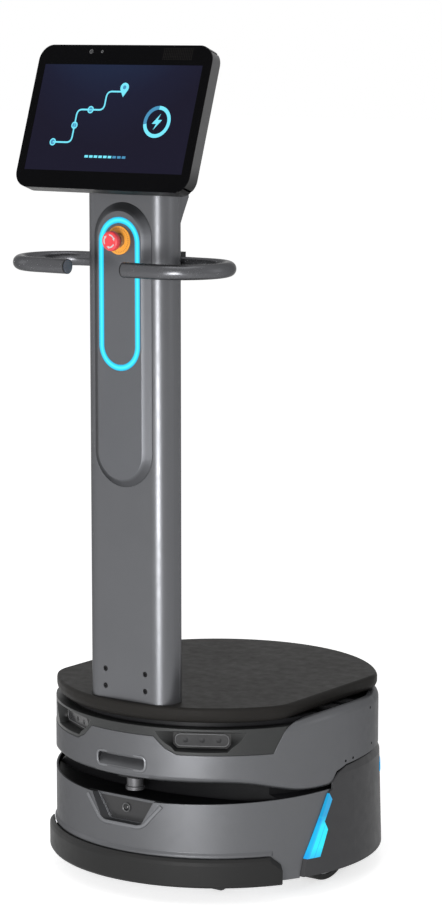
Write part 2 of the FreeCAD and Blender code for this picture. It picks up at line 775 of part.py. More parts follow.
band_cut = padded("band_cut", "XZ_Plane", band_outline("0"), "reach", y="centre_y")
scoop_cut = padded("scoop_cut", "YZ_Plane", [
    ("-shell_radius - 5", "scoop_low_z - 6"), ("-shell_radius - 5", "scoop_top_z"),
    ("-shell_radius + scoop_depth", "scoop_top_z"),
    ("-shell_radius + scoop_depth", "scoop_top_z - scoop_height/3")],
    "scoop_width", both=True, y="centre_y")
scoop_block = overlap(
    "scoop_block", block("scoop_box", "scoop_width + 12", "30",
                         "scoop_top_z + 3 - mouth_top_z - floor_sheet - 0.3",
                         "0", "centre_y - shell_radius + 15", "mouth_top_z + floor_sheet + 0.3"),
    rod("scoop_round", "shell_radius - 1", "rim_rear_z", "0", "centre_y", "0"))
shell_face = size("shell_radius")
shell_middle = size("centre_y")
lip_end = size("centre_y - mouth_end - upper_gap")
rim_end = size("centre_y + rim_split") - 0.1


def on_outer_wall(edge):
    """Points along an edge, if they all lie on the outer wall."""
    first, last = edge.ParameterRange
    spots = [edge.valueAt(first + share * (last - first)) for share in (0.1, 0.5, 0.9)]
    outside = all(near(Vector(spot.x, spot.y - shell_middle, 0).Length, shell_face) for spot in spots)
    return spots if outside else []


def on_front_lip(edge):
    spots = on_outer_wall(edge)
    return bool(spots) and all(spot.y < lip_end and spot.z < size("panel_top_z") for spot in spots)


def on_side_rim(edge):
    spots = on_outer_wall(edge)
    return bool(spots) and all(spot.z > size("band_top_z + 0.2") and spot.y < rim_end for spot in spots)


rim_limits = join("rim_limits", block("rim_low", "reach", "2*reach", "band_top_z", "0", "centre_y", "0"),
                  rod("rim_crown", "rim_sweep", "reach", "-reach/2", "centre_y",
                      "band_top_z + rim_crown - rim_sweep", "x"))
front_part = overlap("front_part", upper_ring, rim_limits, block(
    "front_room", "reach", "reach", "deck_top_z", "0", "centre_y + rim_split - reach/2", "0"))
front_open = cut("front_open", front_part, upper_below, band_cut)
front_lipped = rounded("front_lipped", front_open, "lip_round", on_front_lip)
front_rimmed = rounded("front_rimmed", front_lipped, "rim_round", on_side_rim)
rear_low = overlap("rear_low", upper_ring, block(
    "rear_room", "reach", "reach", "rim_rear_z", "0", "centre_y", "0"))
rear_top = size("rim_rear_z")
rear_round = rounded("rear_round", rear_low, "rim_round", lambda edge: bool(on_outer_wall(edge)) and near(
    edge.BoundBox.ZMin, rear_top))
rear_part = cut("rear_part", rear_round, upper_below, block(
    "rear_limit", "reach", "reach", "deck_top_z", "0", "centre_y + rim_split - reach/2", "0"))
node("upper_shell", cut("upper_shell", join("upper_blank", front_rimmed, rear_part, scoop_block),
                        band_cut, scoop_cut))

band_ring = turned("band_ring", [
    ("shell_radius - 0.6", "band_low_z"), ("shell_radius - 0.6", "band_top_z"),
    ("shell_radius - band_wall", "band_top_z"), ("shell_radius - band_wall", "band_low_z")])
band_span = padded("band_span", "XZ_Plane", band_outline("0.4"), "reach", y="centre_y")


def window_corners(grow):
    """The depth camera's window, larger all round by a margin."""
    half, tall = f"camera_width/2 + {grow}", f"camera_height/2 + {grow}"
    return both_sides([(half, f"camera_z - ({tall})"), (half, f"camera_z + ({tall})")])


def flared_corners(side, low_half, outer_half, inner_half, low, high):
    """The camera's hollow: its flanks lean out, most of all towards the middle of the robot."""
    right, left = (outer_half, inner_half) if side > 0 else (inner_half, outer_half)
    return [(f"{low_half} - 6", f"camera_z - {low}"), (low_half, f"camera_z - {low} + 6"),
            (right, f"camera_z + {high}"), (f"-({left})", f"camera_z + {high}"),
            (f"-({low_half})", f"camera_z - {low} + 6"), (f"-({low_half} - 6)", f"camera_z - {low}")]


band_pockets = []
for side, sign in (("left", 1), ("right", -1)):
    turn = Rotation(Z_AXIS, sign * size("camera_turn"))
    near_half = "(camera_width/2 + 1.5)"
    mouth = lofted(f"camera_mouth_{side}", "XZ_Plane",
                   flared_corners(sign, near_half, near_half, near_half, "12", "12"), "camera_face",
                   flared_corners(sign, "(camera_width/2 + 7)", "(camera_width/2 + 105)",
                                  "(camera_width/2 + 130)", "17.5", "21"), "camera_face + 30", y="centre_y")
    mouth.Placement.Rotation = turn
    seat = padded(f"camera_seat_{side}", "XZ_Plane", window_corners("0.3"), "40",
                  "camera_face - 30", y="centre_y")
    seat.Placement.Rotation = turn
    seat = softened(seat, "camera_height/2 - 0.7", lambda edge: runs_along(edge, Y_AXIS))
    band_pockets += [mouth, seat]
    camera = padded(f"depth_camera_{side}", "XZ_Plane", window_corners("0"), "camera_deep",
                    "camera_face - camera_deep - 0.5", y="centre_y")
    camera.Placement.Rotation = turn
    camera = softened(camera, "camera_height/2 - 1", lambda edge: runs_along(edge, Y_AXIS))
    node(f"depth_camera_{side}", camera)
node("sensor_band", cut("sensor_band", overlap("band_trimmed", band_ring, band_span), *band_pockets))

floor_disc = turned("floor_disc", [
    ("0", "mouth_top_z"), ("lip_inside - 0.3", "mouth_top_z"),
    ("lip_inside - 0.3", "mouth_top_z + floor_sheet"), ("0", "mouth_top_z + floor_sheet")])
node("upper_floor", cut("upper_floor", floor_disc, *post_room))
node("top_tray", turned("top_tray", [
    ("0", "tray_z - tray_sheet"), ("band_inside", "tray_z - tray_sheet"),
    ("band_inside", "tray_z"), ("0", "tray_z")]))
lidar_top = "lidar_low_z + lidar_head + 0.3"
node("lidar_base", block("lidar_base", "lidar_seat", "lidar_seat", f"mouth_top_z - ({lidar_top})", "0",
                         "centre_y - lidar_y", lidar_top))
node("lidar_head", turned("lidar_head", [
    ("0", "lidar_low_z"), ("lidar_radius", "lidar_low_z"), ("lidar_radius", "lidar_low_z + 5"),
    ("lidar_radius - 1.5", "lidar_low_z + 6"), ("lidar_radius - 1.5", "lidar_low_z + lidar_head"),
    ("0", "lidar_low_z + lidar_head")], y="centre_y - lidar_y"))

# ---------------------------------------------------------------- deck

deck_blank = overlap(
    "deck_blank", rod("deck_disc", "deck_radius", "deck_thick", "0", "centre_y", "deck_low_z"),
    block("deck_sides", "2*deck_half", "3*deck_radius", "deck_thick", "0", "centre_y", "deck_low_z"))
deck_cornered = rounded("deck_cornered", deck_blank, "deck_corner",
                        lambda edge: runs_along(edge, Z_AXIS))
deck_low = size("deck_low_z")
deck_high = size("deck_top_z")
deck_under = rounded("deck_under", deck_cornered, "deck_under_round",
                     lambda edge: near(edge.BoundBox.ZMax, deck_low))
deck_solid = rounded("deck_solid", deck_under, "deck_top_round",
                     lambda edge: near(edge.BoundBox.ZMin, deck_high))
rail_tall = "deck_low_z - tray_z"
rails = [block(f"rail_{place}", "rail_width", "rail_length", rail_tall, f"{place}*rail_x",
               "centre_y", "tray_z") for place in (-1, 1)]
crossbars = [block(f"crossbar_{place}", "2*rail_x", "rail_width", rail_tall, "0",
                   f"centre_y + {place}*(rail_length - rail_width)/2", "tray_z") for place in (-1, 1)]
side_arms = [block(f"side_arm_{place}", "2*deck_half + 14", "rail_width/2", rail_tall, "0",
                   f"centre_y + {place}*rail_width", "tray_z") for place in (0, 1)]
node("deck_frame", join("deck_frame", *rails, *crossbars, *side_arms))

# ---------------------------------------------------------------- column


def tilted(thing):
    """Puts a display piece in place; its own Y is how deep it lies behind the glass."""
    thing.Placement.Rotation = Rotation(X_AXIS, -size("screen_tilt"))
    return bind(thing, y="column_front - screen_reach", z="screen_z")


def column_body(name, inset):
    box = block(name, f"column_width - 2*({inset})", f"column_depth - 2*({inset})",
                "screen_z + column_cap - column_foot_z", "0", "column_middle", "column_foot_z")
    front = size(f"column_front + {inset}")
    front_round = rounded(name + "_front", box, f"column_corner - ({inset})", lambda edge: runs_along(
        edge, Z_AXIS) and near(edge.BoundBox.YMin, front))
    back = size(f"column_back - ({inset})")
    return rounded(name + "_back", front_round, f"column_corner/3 - ({inset})/2", lambda edge: runs_along(
        edge, Z_AXIS) and near(edge.BoundBox.YMin, back))


node("deck_plate", cut("deck_plate", deck_solid, column_body("deck_socket", "-deck_fit")))
column_tube = cut("column_tube", column_body("column_outer", "0"), column_body("column_inner", "column_wall"))
front_half = block("front_half", "2*column_width", "200", "2000", "0", "column_seam - 100.2", "0")
rear_half = block("rear_half", "2*column_width", "200", "2000", "0", "column_seam + 100.2", "0")
display_space = tilted(padded("display_space", "XZ_Plane", [
    ("-400", "-130"), ("400", "-130"), ("400", "400"), ("-400", "400")],
    "400", "-(screen_thick + 0.3)"))
screw_spots = [(f"{side}*screw_x", f"deck_top_z + screw_low + {step}*screw_step")
               for side in (-1, 1) for step in (0, 1)]
screw_holes = [rod(f"screw_hole_{number}", "screw_radius + 0.2", "2*column_wall", x,
                   "column_front - column_wall/2", z, "y")
               for number, (x, z) in enumerate(screw_spots)]
node("column_front_cover", cut("column_front_cover", overlap("column_front_blank", column_tube, front_half),
                               display_space, *screw_holes))
head_block = padded("head_block", "YZ_Plane", [
    ("column_back - column_wall", "head_low_z"), ("column_back", "head_low_z"),
    ("column_back + head_reach/2", "head_low_z + 25"),
    ("column_back + head_reach", "head_low_z + 48"),
    ("column_back + head_reach", "screen_z + 30"), ("column_back - column_wall", "screen_z + column_cap")],
    "column_width - 2*column_corner/3", both=True)
node("column_rear_cover", cut("column_rear_cover", join(
    "rear_blank", overlap("column_rear_blank", column_tube, rear_half), head_block), display_space))
spine_space = tilted(padded("spine_space", "XZ_Plane", [
    ("-400", "-200"), ("400", "-200"), ("400", "400"), ("-400", "400")],
    "400", "-(screen_thick + bracket_sheet + 0.3)"))
node("column_spine", cut("column_spine", block(
    "spine_bar", "spine_width", "spine_depth", "screen_z - column_foot_z", "0", "column_middle",
    "column_foot_z"), spine_space))
node("foot_screws", group("foot_screws", *[
    rod(f"foot_screw_{number}", "screw_radius", "6", x, "column_front + 0.5", z, "y")
    for number, (x, z) in enumerate(screw_spots)]))


def stadium(name, half, low, high, thick, y):
    """A slot shape that stands upright and is drawn out along Y."""
    body = block(name + "_middle", f"2*({half})", thick, f"{high} - ({low}) - 2*({half})",
                 "0", f"{y} + ({thick})/2", f"{low} + {half}")
    ends = [rod(f"{name}_{place}", half, thick, "0", y, z, "y")
            for place, z in (("low", f"{low} + {half}"), ("high", f"{high} - ({half})"))]
    return join(name, body, *ends)


panel_blank = stadium("panel_blank", "panel_half", "panel_low_z", "panel_high_z", "panel_proud", "panel_face")
face_y = size("panel_face")
panel_shape = bevelled("panel_shape", panel_blank, "panel_proud - 0.5", "panel_bevel",
                       lambda edge: near(edge.BoundBox.YMax, face_y))
ring_outer = stadium("ring_outer", "ring_half", "ring_low_z", "ring_high_z", "ring_deep", "panel_face")
ring_inner = stadium("ring_inner", "ring_half - ring_band", "ring_low_z + ring_band",
                     "ring_high_z - ring_band", "ring_deep", "panel_face")
node("light_ring", cut("light_ring", ring_outer, ring_inner))
stop_hole = rod("stop_hole", "stop_stem_radius + 0.3", "60", "0", "panel_face - 20", "stop_z", "y")
groove = cut("groove", stadium("groove_outer", "ring_half + 0.2", "ring_low_z - 0.2", "ring_high_z + 0.2",
                               "ring_deep", "panel_face"),
             stadium("groove_inner", "ring_half - ring_band - 0.2", "ring_low_z + ring_band + 0.2",
                     "ring_high_z - ring_band - 0.2", "ring_deep", "panel_face"))
node("control_panel", cut("control_panel", panel_shape, groove, stop_hole))

# ---------------------------------------------------------------- emergency stop

plate_front = "(panel_face - stop_plate_thick)"
node("stop_plate", cut("stop_plate", rod(
    "stop_disc", "stop_plate_radius", "stop_plate_thick", "0", plate_front, "stop_z", "y"),
    rod("stop_disc_hole", "stop_stem_radius + 0.3", "10", "0", f"{plate_front} - 2", "stop_z", "y")))
collar_front = f"({plate_front} - stop_collar_long)"
node("stop_collar", cut("stop_collar", rod(
    "collar_rod", "stop_collar_radius", "stop_collar_long", "0", collar_front, "stop_z", "y"),
    rod("collar_hole", "stop_stem_radius + 0.3", "20", "0", f"{collar_front} - 2", "stop_z", "y")))
head_back = f"({collar_front} - stop_travel - 0.4)"
stop_head = rod("stop_head", "stop_head_radius", "stop_head_long", "0",
                f"{head_back} - stop_head_long", "stop_z", "y")
head_front = size(f"{head_back} - stop_head_long")
stop_head = rounded("stop_head_round", stop_head, "stop_head_long/3", lambda edge: edge.Closed)
node("stop_button", join("stop_button", stop_head, rod(
    "stop_stem", "stop_stem_radius", "stop_collar_long + stop_travel + 4", "0",
    f"{head_back} - 0.1", "stop_z", "y")))

# ---------------------------------------------------------------- handlebar


def bent_bar(name, radius):
    """The whole bar: a back leg, two half turns and two front legs that face each other."""
    pieces = [rod(f"{name}_back", radius, "2*bar_bend_x", "-bar_bend_x", "bar_back", "bar_z", "x")]
    for side, sign in (("left", 1), ("right", -1)):
        start = "bar_end_x" if sign > 0 else "-bar_bend_x"
        pieces.append(rod(f"{name}_leg_{side}", radius, "bar_bend_x - bar_end_x", start,
                          "bar_front", "bar_z", "x"))
        bend = new("Part::Torus", f"{name}_bend_{side}")
        bend.Angle3 = 180
        bend.Placement.Rotation = Rotation(Z_AXIS, -90 * sign)
        pieces.append(bind(bend, Radius1="bar_bend", Radius2=radius, x=f"{sign}*bar_bend_x",
                           y="(bar_front + bar_back)/2", z="bar_z"))
    return join(name, *pieces)


node("handlebar", cut("handlebar", bent_bar("bar_outside", "bar_radius"),
                      bent_bar("bar_inside", "bar_radius - bar_wall")))
node("bar_plugs", group("bar_plugs", *[
    rod(f"bar_plug_{side}", "bar_radius", "plug_lip", start, "bar_front", "bar_z", "x")
    for side, start in (("left", "bar_end_x - plug_lip"), ("right", "-bar_end_x"))]))
clamp_deep = "(bar_back + bar_radius + 5 - column_back)"
node("bar_clamps", group("bar_clamps", *[
    cut(f"bar_clamp_{place}", block(
        f"clamp_block_{place}", "clamp_width", clamp_deep, "2*bar_radius + 12",
        f"{place}*clamp_x", f"column_back + {clamp_deep}/2", "bar_z - bar_radius - 6"),
        rod(f"clamp_bore_{place}", "bar_radius + 0.1", "3*clamp_width",
            f"{place}*clamp_x - 1.5*clamp_width", "bar_back", "bar_z", "x"))
    for place in (-1, 1)]))

# ---------------------------------------------------------------- display


def slab(name, width, height, middle, depth, thick, x="0"):
    """A flat display piece; depth is how far its front lies behind the glass."""
    left, right = f"{x} - ({width})/2", f"{x} + ({width})/2"
    low, high = f"{middle} - ({height})/2", f"{middle} + ({height})/2"
    return tilted(padded(name, "XZ_Plane", [(left, low), (right, low), (right, high), (left, high)],
                         thick, f"-({depth})", back=True))


def screen_corners(body, radius):
    return softened(body, radius, lambda edge: runs_along(edge, Y_AXIS))


housing = screen_corners(slab("housing_blank", "screen_width", "screen_height", "0", "glass_thick",
                              "screen_thick - glass_thick"), "screen_corner")
housing_back = size("screen_thick")
housing = chamfered(housing, "back_bevel", lambda edge: near(edge.BoundBox.YMin, housing_back))
housing_hollow = slab("housing_hollow", "screen_width - 2*housing_wall", "screen_height - 2*housing_wall",
                      "0", "glass_thick", "screen_thick - glass_thick - 4")
bezel = screen_corners(slab("bezel_blank", "screen_width", "screen_height", "0", "0", "glass_thick"),
                       "screen_corner")
bezel_window = slab("bezel_window", "panel_wide + 0.2", "panel_tall + 0.2", "-panel_drop", "-5", "20")
button_slot = slab("button_slot", "button_long + 0.6", "20", "screen_height/2",
                   "(screen_thick - button_deep)/2 - 0.3", "button_deep + 0.6", "button_x")
node("display_housing", cut("display_housing", housing, housing_hollow, button_slot))
node("display_bezel", cut("display_bezel", bezel, bezel_window))
node("display_panel", slab("display_panel", "panel_wide", "panel_tall", "-panel_drop", "0.2",
                           "glass_thick + 4"))
node("power_button", slab("power_button", "button_long", "9", "screen_height/2 + button_proud - 4.5",
                          "(screen_thick - button_deep)/2", "button_deep", "button_x"))
node("display_bracket", slab("display_bracket", "bracket_wide", "bracket_tall", "12 + bracket_tall/2",
                             "screen_thick", "bracket_sheet"))

# ---------------------------------------------------------------- bumper

bumper_ring = turned("bumper_ring", [
    ("bumper_inside", "bumper_low_z"), ("bumper_radius - 2", "bumper_low_z"),
    ("bumper_radius", "bumper_low_z + 3"), ("bumper_radius", "bumper_top_z - 9"),
    ("bumper_radius - 1.5", "bumper_top_z - 4"), ("bumper_radius - 5", "bumper_top_z"),
    ("bumper_inside", "bumper_top_z")])
bumper_span = padded("bumper_span", "XZ_Plane", both_sides([
    ("bumper_end + 1", "0"), ("bumper_end + 1", "bumper_top_z - 23"),
    ("bumper_end - 14", "bumper_top_z - 3"), ("bumper_end - 16", "bumper_top_z + 1")]),
    "reach", y="centre_y")
guide_pins = [rod(f"guide_pin_{place}", "guide_radius", "50", f"{place}*guide_x",
                  "centre_y - bumper_radius + 12", "guide_z", "y") for place in (-1, 1)]
guide_bosses = [rod(f"guide_boss_{place}", "2*guide_radius", "14", f"{place}*guide_x",
                    "centre_y - bumper_radius + 11", "guide_z", "y") for place in (-1, 1)]
node("bumper", join("bumper", overlap("bumper_trimmed", bumper_ring, bumper_span,
                                      pie("bumper_slice", "bumper_turn")),
                    *guide_pins, *guide_bosses))
node("bumper_guides", group("bumper_guides", *[
    cut(f"bumper_guide_{place}", block(
        f"guide_block_{place}", "guide_width", "0.9*guide_width", "plate_z - guide_z + 8", f"{place}*guide_x",
        "centre_y - bumper_radius + 48", "guide_z - 8"),
        rod(f"guide_bore_{place}", "guide_radius + running_fit", "60", f"{place}*guide_x",
            "centre_y - bumper_radius + 20", "guide_z", "y"))
    for place in (-1, 1)]))

# ---------------------------------------------------------------- checks and export

doc.recompute()
for thing in doc.Objects:
    if "Invalid" in thing.State or "Error" in thing.State:
        raise RuntimeError(f"{thing.Label} could not be built")
for name, thing in nodes.items():
    if thing.Shape.isNull() or not thing.Shape.isValid() or not thing.Shape.Solids:
        raise RuntimeError(f"{name} has no valid shape")
for name, thing in nodes.items():
    thing.Shape.exportStep(f"parts/{name}.step")
print(len(nodes), "parts written")
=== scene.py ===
import json
import math

import bmesh
import bpy
from mathutils import Matrix, Vector

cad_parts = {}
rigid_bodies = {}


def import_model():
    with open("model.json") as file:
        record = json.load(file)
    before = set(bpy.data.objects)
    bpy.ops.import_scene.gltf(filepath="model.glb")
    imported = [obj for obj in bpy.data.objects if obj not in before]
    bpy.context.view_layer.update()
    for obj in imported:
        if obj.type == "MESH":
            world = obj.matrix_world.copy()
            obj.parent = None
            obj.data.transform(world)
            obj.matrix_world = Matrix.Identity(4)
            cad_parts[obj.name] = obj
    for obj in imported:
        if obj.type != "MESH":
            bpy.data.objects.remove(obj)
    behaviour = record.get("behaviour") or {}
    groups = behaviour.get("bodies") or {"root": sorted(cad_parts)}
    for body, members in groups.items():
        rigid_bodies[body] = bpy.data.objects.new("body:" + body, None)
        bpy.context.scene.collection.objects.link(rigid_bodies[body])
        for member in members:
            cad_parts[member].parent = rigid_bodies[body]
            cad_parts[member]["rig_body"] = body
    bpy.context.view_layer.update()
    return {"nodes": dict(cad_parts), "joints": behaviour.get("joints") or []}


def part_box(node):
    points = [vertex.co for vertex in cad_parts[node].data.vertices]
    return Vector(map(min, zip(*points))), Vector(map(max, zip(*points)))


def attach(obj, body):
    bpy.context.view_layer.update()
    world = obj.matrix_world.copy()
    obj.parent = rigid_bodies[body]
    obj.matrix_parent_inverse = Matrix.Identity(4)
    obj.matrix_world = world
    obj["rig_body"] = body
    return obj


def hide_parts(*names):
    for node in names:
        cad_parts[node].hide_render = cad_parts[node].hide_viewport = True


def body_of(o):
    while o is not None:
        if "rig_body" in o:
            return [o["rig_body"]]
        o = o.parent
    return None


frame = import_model()
nodes = frame["nodes"]
mm = 0.001


def middleOf(node):
    low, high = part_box(node)
    return (low + high) / 2


baseY = middleOf("drive_axles").y  # the round base turns about this line
pressAxis = next(Vector(joint["axis"]) for joint in frame["joints"] if joint["name"] == "power_press")
rightward = Vector((1, 0, 0))
upward = Vector((0, 0, 1))
towardsFront = Vector((0, -1, 0))
screenUp = -pressAxis.normalized()
screenOut = rightward.cross(screenUp)

# camera

view = {"azimuth": 35.44, "elevation": 8.48, "lens": 114.54, "sensor": 36.0, "farthest": 50,
        "place": (2.565, baseY - 3.594, 1.300)}
cameraData = bpy.data.cameras.new("studioCamera")
cameraData.lens = view["lens"]
cameraData.sensor_width = view["sensor"]
cameraData.sensor_fit = "AUTO"
cameraData.clip_end = view["farthest"]
camera = bpy.data.objects.new("studioCamera", cameraData)
camera.location = view["place"]
camera.rotation_euler = (math.radians(90 - view["elevation"]), 0, math.radians(view["azimuth"]))
bpy.context.scene.collection.objects.link(camera)
bpy.context.scene.camera = camera
bpy.context.scene.view_settings.view_transform = "Standard"
print("camera placed")


# shader maths


class Value:
    # wraps a socket, so that sums and products of sockets add their own Math nodes
    def __init__(self, finish, socket):
        self.finish = finish
        self.socket = socket

    def math(self, operation, *others):
        sockets = {f"in{place}": value for place, value in enumerate((self, *others))}
        return self.finish.node("ShaderNodeMath", {"operation": operation}, **sockets)

    def __add__(self, other):
        return self.math("ADD", other)

    def __sub__(self, other):
        return self.math("SUBTRACT", other)

    def __rsub__(self, other):
        return self * -1 + other

    def __mul__(self, other):
        return self.math("MULTIPLY", other)

    def __truediv__(self, other):
        return self.math("DIVIDE", other)

    __radd__ = __add__
    __rmul__ = __mul__

    def above(self, other):
        return self.math("GREATER_THAN", other)

    def below(self, other):
        return self.math("LESS_THAN", other)

    def biggest(self, other):
        return self.math("MAXIMUM", other)

    def smallest(self, other):
        return self.math("MINIMUM", other)

    def size(self):
        return self.math("ABSOLUTE")


class Finish:
    # one procedural material and the nodes it is made of
    def __init__(self, name):
        self.material = bpy.data.materials.new(name)
        self.material.use_nodes = True
        self.tree = self.material.node_tree
        self.shader = self.tree.nodes["Principled BSDF"]
        self.output = self.tree.nodes["Material Output"]
        self.place = None

    def node(self, kind, settings=None, out=0, **inputs):
        # a socket is given by its name, or by its number as in0, in1 and so on
        made = self.tree.nodes.new(kind)
        for key, value in (settings or {}).items():
            if key == "stops":
                self.setStops(made.color_ramp, value)
            else:
                setattr(made, key, value)
        for key, value in inputs.items():
            numbered = key[:2] == "in" and key[2:].isdigit()
            self.feed(made.inputs[int(key[2:]) if numbered else key.replace("_", " ")], value)
        return Value(self, made.outputs[out])

    def setStops(self, ramp, stops):
        while len(ramp.elements) < len(stops):
            ramp.elements.new(0.5)
        for element, (position, colour) in zip(ramp.elements, stops):
            element.position = position
            element.color = (*colour, 1)

    def feed(self, socket, value):
        if isinstance(value, Value):
            self.tree.links.new(value.socket, socket)
        elif socket.type == "RGBA":
            socket.default_value = (*value, 1)
        else:
            socket.default_value = value

    def set(self, **inputs):
        for key, value in inputs.items():
            self.feed(self.shader.inputs[key.replace("_", " ")], value)
        return self

    def coordinates(self):
        if self.place is None:
            self.place = self.node("ShaderNodeTexCoord", out=3)
        return self.place

    def axes(self):
        split = self.node("ShaderNodeSeparateXYZ", in0=self.coordinates()).socket.node
        return [Value(self, out) for out in split.outputs]

    def noise(self, scale, detail, roughness):
        return self.node("ShaderNodeTexNoise", Vector=self.coordinates(), Scale=scale, Detail=detail,
                         Roughness=roughness)

    def mapped(self, value, low, high, atLow, atHigh):
        # turns low to high into atLow to atHigh, and holds what lies outside at the nearer of them
        return self.node("ShaderNodeMapRange", in0=value, in1=low, in2=high, in3=atLow, in4=atHigh)

    def spread(self, noise, low, high):
        # most of a noise lies between 0.3 and 0.7
        return self.mapped(noise, 0.3, 0.7, low, high)

    def blend(self, factor, first, second):
        return self.node("ShaderNodeMix", {"data_type": "RGBA"}, out=2, in0=factor, in6=first, in7=second)

    def scaled(self, colour, share):
        return self.node("ShaderNodeVectorMath", {"operation": "SCALE"}, in0=colour, Scale=share)

    def held(self, key):
        # what feeds one of the shader's sockets now
        return Value(self, self.shader.inputs[key].links[0].from_socket)

    def relief(self, height, strength, distance, edge):
        # edge is the radius of the softened edges, or 0 for sharp ones
        inputs = {"Height": height, "Strength": strength, "Distance": distance}
        if edge:
            inputs["Normal"] = self.node("ShaderNodeBevel", {"samples": 4}, Radius=edge)
        return self.node("ShaderNodeBump", **inputs)


# noises that every plain finish shares, as scale, detail and roughness, and how far each is felt;
# the fine one takes its scale from the grain of the finish

texture = {"fine": (3, 0.6), "slow": (7.0, 3, 0.55), "middle": (60.0, 4, 0.6), "fleck": (0.96, 1.04),
           "worn": 0.05, "drift": 0.03, "coatRoughness": 0.2, "relief": 0.1 * mm}


def grained(name, colour, rough, metallic=0.0, coat=0.0, grain=900.0, depth=0.15, edge=0.6 * mm,
            shift=0.12, specular=0.5, tint=1.0):
    # paint, plastic and rubber: a fine moulded grain, slow shifts of tone, softened edges
    finish = Finish(name)
    worn, drift = texture["worn"], texture["drift"]
    fine = finish.noise(grain, *texture["fine"])
    slow = finish.noise(*texture["slow"])
    middle = finish.noise(*texture["middle"])
    tone = finish.spread(slow, 1 - shift, 1 + shift)
    fleck = finish.spread(fine, *texture["fleck"])
    shade = finish.scaled(finish.scaled(colour, tone), fleck)
    roughness = finish.spread(middle, rough - worn, rough + worn) + finish.spread(slow, -drift, drift)
    finish.set(Base_Color=shade, Roughness=roughness, Metallic=metallic, Coat_Weight=coat,
               Coat_Roughness=texture["coatRoughness"], Specular_IOR_Level=specular,
               Specular_Tint=(tint, tint, tint), Normal=finish.relief(fine, depth, texture["relief"], edge))
    return finish


# colour and grain of every plain finish; edge is the radius of its softened edges

